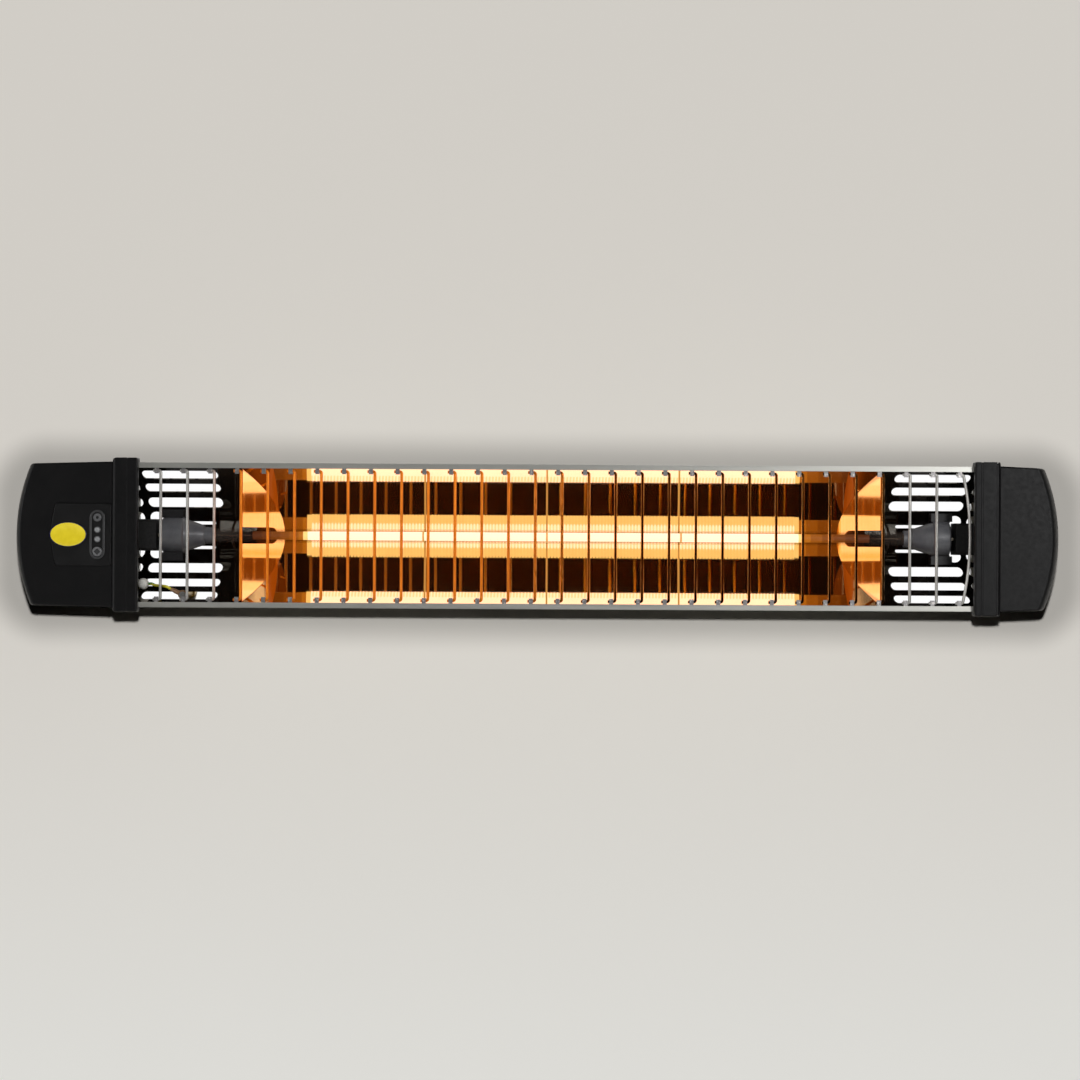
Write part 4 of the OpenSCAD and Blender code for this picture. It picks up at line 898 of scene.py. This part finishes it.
end_cap("left_end_cap", "left_cap", -1, 406.0, (6.2, 22))
end_cap("right_end_cap", "right_cap", 1, 380.0, (10, 34))


def control_cover():
    cover = prism(cover_outline(406.0, 0, 2.3), 1, CAP_FRONT, -1.9)
    round_edges(cover, 0.35, 3, chosen=lambda pts: all(p.y < LIP_Y - 3.4 for p in pts))
    for z, r in ((-12.7, 3.9), (12.7, 2.25), (3.5, 1.45), (-3.5, 1.45)):
        combine(cover, prism(disc(KEYPAD_X, z, r), 1, -6, 1), "DIFFERENCE")
    finish_piece(flip_x(cover, -1), "keypad_cover", "cover_plastic", "control_cover")


control_cover()


def turned(name, node, mats, at, profile):
    """Pieces turned about Y at each place, from radii (below 0: a diamond's), depths and material numbers."""
    steps = 48
    verts, faces, indices = [], [], []
    for cx, cz in at:
        base = len(verts)
        for r, d, _ in profile[1:-1]:
            for i in range(steps):
                a = 2 * math.pi * i / steps
                here = r if r > 0 else -r / (abs(math.cos(a)) + abs(math.sin(a)))
                verts.append((cx + here * math.cos(a), LIP_Y + d, cz + here * math.sin(a)))
        rings = len(profile) - 2
        verts += [(cx, LIP_Y + profile[0][1], cz), (cx, LIP_Y + profile[-1][1], cz)]
        for i in range(steps):
            k = (i + 1) % steps
            faces.append((base + rings * steps, base + k, base + i))
            indices.append(profile[0][2])
            last = base + (rings - 1) * steps
            faces.append((last + i, last + k, base + rings * steps + 1))
            indices.append(profile[-1][2])
            for j in range(rings - 1):
                row = base + j * steps
                faces.append((row + i, row + k, row + steps + k, row + steps + i))
                indices.append(profile[j + 1][2])
    obj = piece(name, verts, faces, mats, node, indices)
    sharp_edges(obj, 50)


def keypad():
    x, front = -KEYPAD_X, CAP_FRONT
    section = [(0, 0), (0, -0.4), (0.2, -0.62), (0.5, -0.7), (1.2, -0.7), (1.5, -0.62), (1.7, -0.4), (1.7, 0)]
    rings = [[(x + b, LIP_Y + front + d, a) for a, b in stadium(-18.4 + k, 18.4 - k, 0, 11.4 - 2 * k, 16)]
             for k, d in section]
    n, m = len(rings[0]), len(rings)
    faces = [(j * n + i, j * n + (i + 1) % n, (j + 1) % m * n + (i + 1) % n, (j + 1) % m * n + i)
             for j in range(m) for i in range(n)]
    band = piece("keypad_band", [p for ring in rings for p in ring], faces, ["bezel_plastic"], "keypad_bezel")
    sharp_edges(band, 50)
    turned("receiver_window", "sensor_window", ["sensor_plastic", "black_rubber"], [(x, 12.7)],
           [(0, front + 0.3, 1), (1.02, front + 0.3, 1), (1.1, front - 0.3, 0), (1.35, front - 0.45, 0),
            (2.1, front - 0.5, 0), (2.7, front - 0.42, 0), (3.0, front - 0.22, 0), (3.1, front, 0),
            (2.2, front, 0), (2.2, -1.4, 0), (0, -1.4, 0)])
    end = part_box("status_lights")[1][1] / MM - LIP_Y
    # The domes' outer slopes take a darker material, a painted shade for their rounded edges
    turned("light_domes", "status_lights", ["light_plastic", "light_edge_shade"], [(x, 3.5), (x, -3.5)],
           [(0, front - 0.7, 0), (0.7, front - 0.68, 0), (1.3, front - 0.6, 0), (1.7, front - 0.5, 1),
            (2.1, front - 0.32, 1), (2.4, front - 0.1, 1), (2.45, front, 1), (1.4, front, 1), (1.4, end, 1),
            (0, end, 1)])
    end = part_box("power_button")[1][1] / MM - LIP_Y
    turned("power_key", "power_button", ["button_plastic", "bezel_plastic"], [(x, -12.7)],
           [(0, front - 0.5, 1), (-2.3, front - 0.5, 1), (-2.5, front - 0.88, 0), (2.6, front - 0.98, 0),
            (3.0, front - 1.0, 0), (3.35, front - 0.88, 0), (3.55, front - 0.66, 0), (3.6, front - 0.4, 0),
            (3.6, -1.6, 0), (4.5, -1.6, 0), (4.5, -0.8, 0), (1.5, -0.8, 0), (1.5, end, 0), (0, end, 0)])


keypad()


def badge():
    cx, front = -363.3, CAP_FRONT
    rings = [(1.0, 0.0), (1.0, -0.55), (0.995, -0.76), (0.983, -0.88), (0.955, -0.9), (0.945, -0.83), (0.935, -0.88),
             (0.86, -1.04), (0.70, -1.19), (0.50, -1.30), (0.26, -1.38)]
    steps = 72
    verts, faces, indices = [], [], []
    for share, d in rings:
        for i in range(steps):
            a = 2 * math.pi * i / steps
            verts.append((cx + 13.85 * share * math.cos(a), LIP_Y + front + d, 9.2 * share * math.sin(a)))
    for j in range(len(rings) - 1):
        for i in range(steps):
            k = (i + 1) % steps
            faces.append((j * steps + i, j * steps + k, (j + 1) * steps + k, (j + 1) * steps + i))
            indices.append(0 if j < 5 else 1)
    verts.append((cx, LIP_Y + front - 1.4, 0))
    last = (len(rings) - 1) * steps
    for i in range(steps):
        faces.append((last + i, last + (i + 1) % steps, len(verts) - 1))
        indices.append(1)
    faces.append(tuple(range(steps))[::-1])
    indices.append(0)
    piece("oval_badge", verts, faces, ["badge_navy", "badge_yellow"], "badge", indices)


badge()


# Earth wire
def earth_wire():
    """Follows the CAD wire's route from the ring terminal through the bush to the left cap."""
    cos_l, sin_l = math.cos(math.radians(25)), math.sin(math.radians(25))
    lean = Vector((-cos_l, 0, sin_l))
    start = Vector((-279.5, 7.5, -44.6)) + (3.4 + 6 + 0.4) * lean
    bush = Vector((-310.9, 18.6, -36.9))
    r = 1.1
    route = [
        start, start + r * lean, start + 4 * r * lean, bush + Vector((9.7, -2.2, -1.1)),
        bush + Vector((6.45, 0, 0)), bush + Vector((4.3, 0, 0)), bush, bush - Vector((4.3, 0, 0)),
        Vector((-327, 18.6, -36.9)), Vector((-335.6, 18.6, -36.9)), Vector((-346.4, 27.2, -28.3)),
        Vector((-357.15, 40.3, -16.6)), Vector((-357.15, 40.3, -10.2)), Vector((-357.15, 40.3, -8.2)),
    ]
    pts = []
    for i in range(len(route) - 1):
        a, b, c, d = route[max(i - 1, 0)], route[i], route[i + 1], route[min(i + 2, len(route) - 1)]
        for j in range(4):
            s = j / 4
            pts.append((2 * b + (c - a) * s + (2 * a - 5 * b + 4 * c - d) * s * s
                        + (3 * b - a - 3 * c + d) * s ** 3) / 2)
    pts.append(route[-1])
    pts = [p + Vector((0, LIP_Y, 0)) for p in pts]
    sides = 12
    verts, faces = tube_mesh(pts, r, sides)
    indices = []
    for f in faces:
        k, ring = f[0] % sides, f[0] // sides
        indices.append(0 if (k + ring // 3) % sides < 7 else 1)
    piece("earth_lead", verts, faces, ["earth_yellow", "earth_green"], "earth_wire", indices)


earth_wire()


# Stage
WALL_KEY = (-10.0, -1950.0, 112.0)


def backdrop_material():
    """Pale wall, evened out for its lamp's falloff, with a painted soft shadow round the heater and painted white
    light behind the vent slots, and clear from behind.
    """
    s = Shader("backdrop")
    x, y, z = s.xyz()
    tone = s.mix(s.range(z, -430, -60, 0, 1), (0.723, 0.716, 0.680), (0.644, 0.617, 0.571))
    tone = s.mix(s.range(s.noise(0.01, 3.0), 0.3, 0.7, 0, 0.02), tone, (0.55, 0.54, 0.52))
    # A painted soft shadow round the heater, darkest close to it
    shift_x, shift_z = s.math("ABSOLUTE", s.math("ADD", x, 13)), s.math("ABSOLUTE", s.math("ADD", z, 3.5))
    over_x = s.math("MAXIMUM", s.math("SUBTRACT", shift_x, 391), 0)
    over_z = s.math("MAXIMUM", s.math("SUBTRACT", shift_z, 31.5), 0)
    away = s.math("SQRT", s.math("ADD", s.math("MULTIPLY", over_x, over_x), s.math("MULTIPLY", over_z, over_z)))
    tone = s.mix(s.range(away, 30, 60, 0.60, 1, True), (0, 0, 0), tone)
    # Painted light: the wall shines white behind the vent slots, where the heater shades it
    ax, az = s.math("ABSOLUTE", x), s.math("ABSOLUTE", z)
    painted_slot_light = s.math("MULTIPLY", s.range(ax, 244, 254, 0, 1, True), s.range(ax, 338, 352, 1, 0, True))
    painted_slot_light = s.math("MULTIPLY", painted_slot_light, s.range(az, 51, 57, 1, 0, True))
    # Evens out the falloff of the wall's lamp
    dx, dz = s.math("SUBTRACT", x, WALL_KEY[0]), s.math("SUBTRACT", z, WALL_KEY[2])
    out = s.math("ADD", s.math("MULTIPLY", dx, dx), s.math("MULTIPLY", dz, dz))
    even = s.math("POWER", s.math("ADD", s.math("DIVIDE", out, WALL_KEY[1] ** 2), 1), 2)
    scale = s.node("VectorMath", operation="SCALE")
    s.put(scale.inputs[0], tone)
    s.put(scale.inputs["Scale"], s.math("MINIMUM", even, 1.5))
    paint = s.node("BsdfDiffuse")
    s.put(paint.inputs["Color"], scale.outputs[0])
    path = s.node("LightPath")
    glow = s.node("Emission")
    glow.inputs["Color"].default_value = (1, 1, 1, 1)
    seen = s.math("MAXIMUM", path.outputs["Is Camera Ray"], path.outputs["Is Glossy Ray"])
    s.put(glow.inputs["Strength"], s.math("MAXIMUM", seen, path.outputs["Is Transmission Ray"]))
    lit = s.node("MixShader")
    s.put(lit.inputs[0], painted_slot_light)
    s.put(lit.inputs[1], paint.outputs[0])
    s.put(lit.inputs[2], glow.outputs[0])
    # Clear from behind, and for the lamps' light on the heater
    first = s.math("MULTIPLY", path.outputs["Is Shadow Ray"], s.math("LESS_THAN", path.outputs["Ray Depth"], 1.5))
    both = s.node("MixShader")
    s.put(both.inputs[0], s.math("MAXIMUM", s.node("NewGeometry").outputs["Backfacing"], first))
    s.put(both.inputs[1], lit.outputs[0])
    s.put(both.inputs[2], s.node("BsdfTransparent").outputs[0])
    s.tree.links.new(both.outputs[0], s.out.inputs[0])
    return s.mat


def sheet(name, corners, mat):
    """Flat piece of the stage."""
    me = bpy.data.meshes.new(name)
    me.from_pydata(corners, [], [(0, 1, 2, 3)])
    me.materials.append(mat)
    obj = bpy.data.objects.new(name, me)
    scene.collection.objects.link(obj)
    return obj


def floor_material():
    """Pale floor that throws no light back."""
    s = Shader("pale_floor")
    pale = s.ramp(s.noise(0.01, 4.0), [(0.3, (0.60, 0.59, 0.57)), (0.7, (0.68, 0.67, 0.65))])
    paint = s.node("BsdfDiffuse")
    s.put(paint.inputs["Color"], s.mix(s.node("LightPath").outputs["Is Diffuse Ray"], pale, (0, 0, 0)))
    s.tree.links.new(paint.outputs[0], s.out.inputs[0])
    return s.mat


STAGE_SIDE, STAGE_FRONT, STAGE_BACK, STAGE_TOP, FLOOR_Z, WALL_Y = 4, -4.5, 3, 3, -0.62, 0.0006
wall = sheet("backdrop_wall", [(-STAGE_SIDE, WALL_Y, FLOOR_Z), (STAGE_SIDE, WALL_Y, FLOOR_Z),
                               (STAGE_SIDE, WALL_Y, STAGE_TOP), (-STAGE_SIDE, WALL_Y, STAGE_TOP)],
             backdrop_material())
sheet("stage_floor", [(-STAGE_SIDE, STAGE_FRONT, FLOOR_Z), (STAGE_SIDE, STAGE_FRONT, FLOOR_Z),
                      (STAGE_SIDE, STAGE_BACK, FLOOR_Z), (-STAGE_SIDE, STAGE_BACK, FLOOR_Z)], floor_material())


# Lights
wall_only = bpy.data.collections.new("lit_wall")
object_only = bpy.data.collections.new("lit_object")
dull_only = bpy.data.collections.new("lit_by_boxes")
wall_only.objects.link(wall)
for o in scene.objects:
    if o.type == "MESH" and o != wall:
        object_only.objects.link(o)
        if o.name not in ("mirror_trough", "left_end_shield", "right_end_shield", "quartz_tube"):
            dull_only.objects.link(o)


def softbox(name, at, to, size, power, receivers, glossy=True):
    """Rectangular lamp turned to a point, which lights one collection only."""
    data = bpy.data.lights.new(name, "AREA")
    data.shape = "RECTANGLE"
    data.size, data.size_y = size
    data.energy = power
    obj = bpy.data.objects.new(name, data)
    obj.location = at
    obj.rotation_euler = (Vector(to) - Vector(at)).to_track_quat("-Z", "Y").to_euler()
    obj.visible_glossy = glossy
    scene.collection.objects.link(obj)
    obj.light_linking.receiver_collection = receivers


key_at = tuple(c * MM for c in WALL_KEY)
softbox("wall_key", key_at, (key_at[0], 0, key_at[2]), (0.03, 0.03), 37.2, wall_only, glossy=False)
softbox("front_soft", (0.0, -2.3, 0.9), (0, -0.1, 0), (2.4, 1.4), 38, object_only, glossy=False)
softbox("left_box", (-1.7, -0.8, 0.25), (-0.2, -0.1, 0), (0.35, 0.9), 7, dull_only)
softbox("right_box", (0.95, -1.7, 0.35), (0.1, -0.1, 0), (0.4, 0.5), 11, dull_only)
softbox("back_soft", (0.3, 1.8, 1.2), (0, 0, 0), (1.6, 0.9), 40, dull_only)


def studio_world():
    """Pale where the camera sees it, dark towards the room in reflections, and no light of its own."""
    world = bpy.data.worlds.new("studio")
    world.use_nodes = True
    scene.world = world
    tree = world.node_tree
    new, link = tree.nodes.new, tree.links.new
    pale = (0.78, 0.77, 0.75, 1)

    def blend(low, high):
        n = new("ShaderNodeMix")
        n.data_type = "RGBA"
        n.inputs[6].default_value, n.inputs[7].default_value = low, high
        return n

    path = new("ShaderNodeLightPath")
    seen = new("ShaderNodeMath")
    seen.operation = "MAXIMUM"
    link(path.outputs["Is Camera Ray"], seen.inputs[0])
    link(path.outputs["Is Transmission Ray"], seen.inputs[1])
    plain = blend((0.0, 0.0, 0.0, 1), pale)
    link(seen.outputs[0], plain.inputs[0])
    heading = new("ShaderNodeTexCoord")
    parts = new("ShaderNodeSeparateXYZ")
    link(heading.outputs["Generated"], parts.inputs[0])
    behind = new("ShaderNodeMapRange")
    for i, v in enumerate((-0.05, 0.25, 0.0, 1.0)):
        behind.inputs[i + 1].default_value = v
    link(parts.outputs[1], behind.inputs[0])
    room = blend((0.009, 0.005, 0.003, 1), pale)
    link(behind.outputs[0], room.inputs[0])
    mirrored = blend((0.0, 0.0, 0.0, 1), pale)
    link(path.outputs["Is Glossy Ray"], mirrored.inputs[0])
    link(plain.outputs[2], mirrored.inputs[6])
    link(room.outputs[2], mirrored.inputs[7])
    back = tree.nodes["Background"]
    link(mirrored.outputs[2], back.inputs[0])
    back.inputs[1].default_value = 1.0


studio_world()


# Camera
cam = bpy.data.cameras.new("camera")
cam.sensor_width = 36
cam.lens = 79.4
cam_obj = bpy.data.objects.new("camera", cam)
cam_obj.location = (-0.012, -1.903, -0.0023)
cam_obj.rotation_euler = (math.radians(90), math.radians(-0.31), 0)
scene.collection.objects.link(cam_obj)
scene.camera = cam_obj
scene.view_settings.view_transform = "Standard"
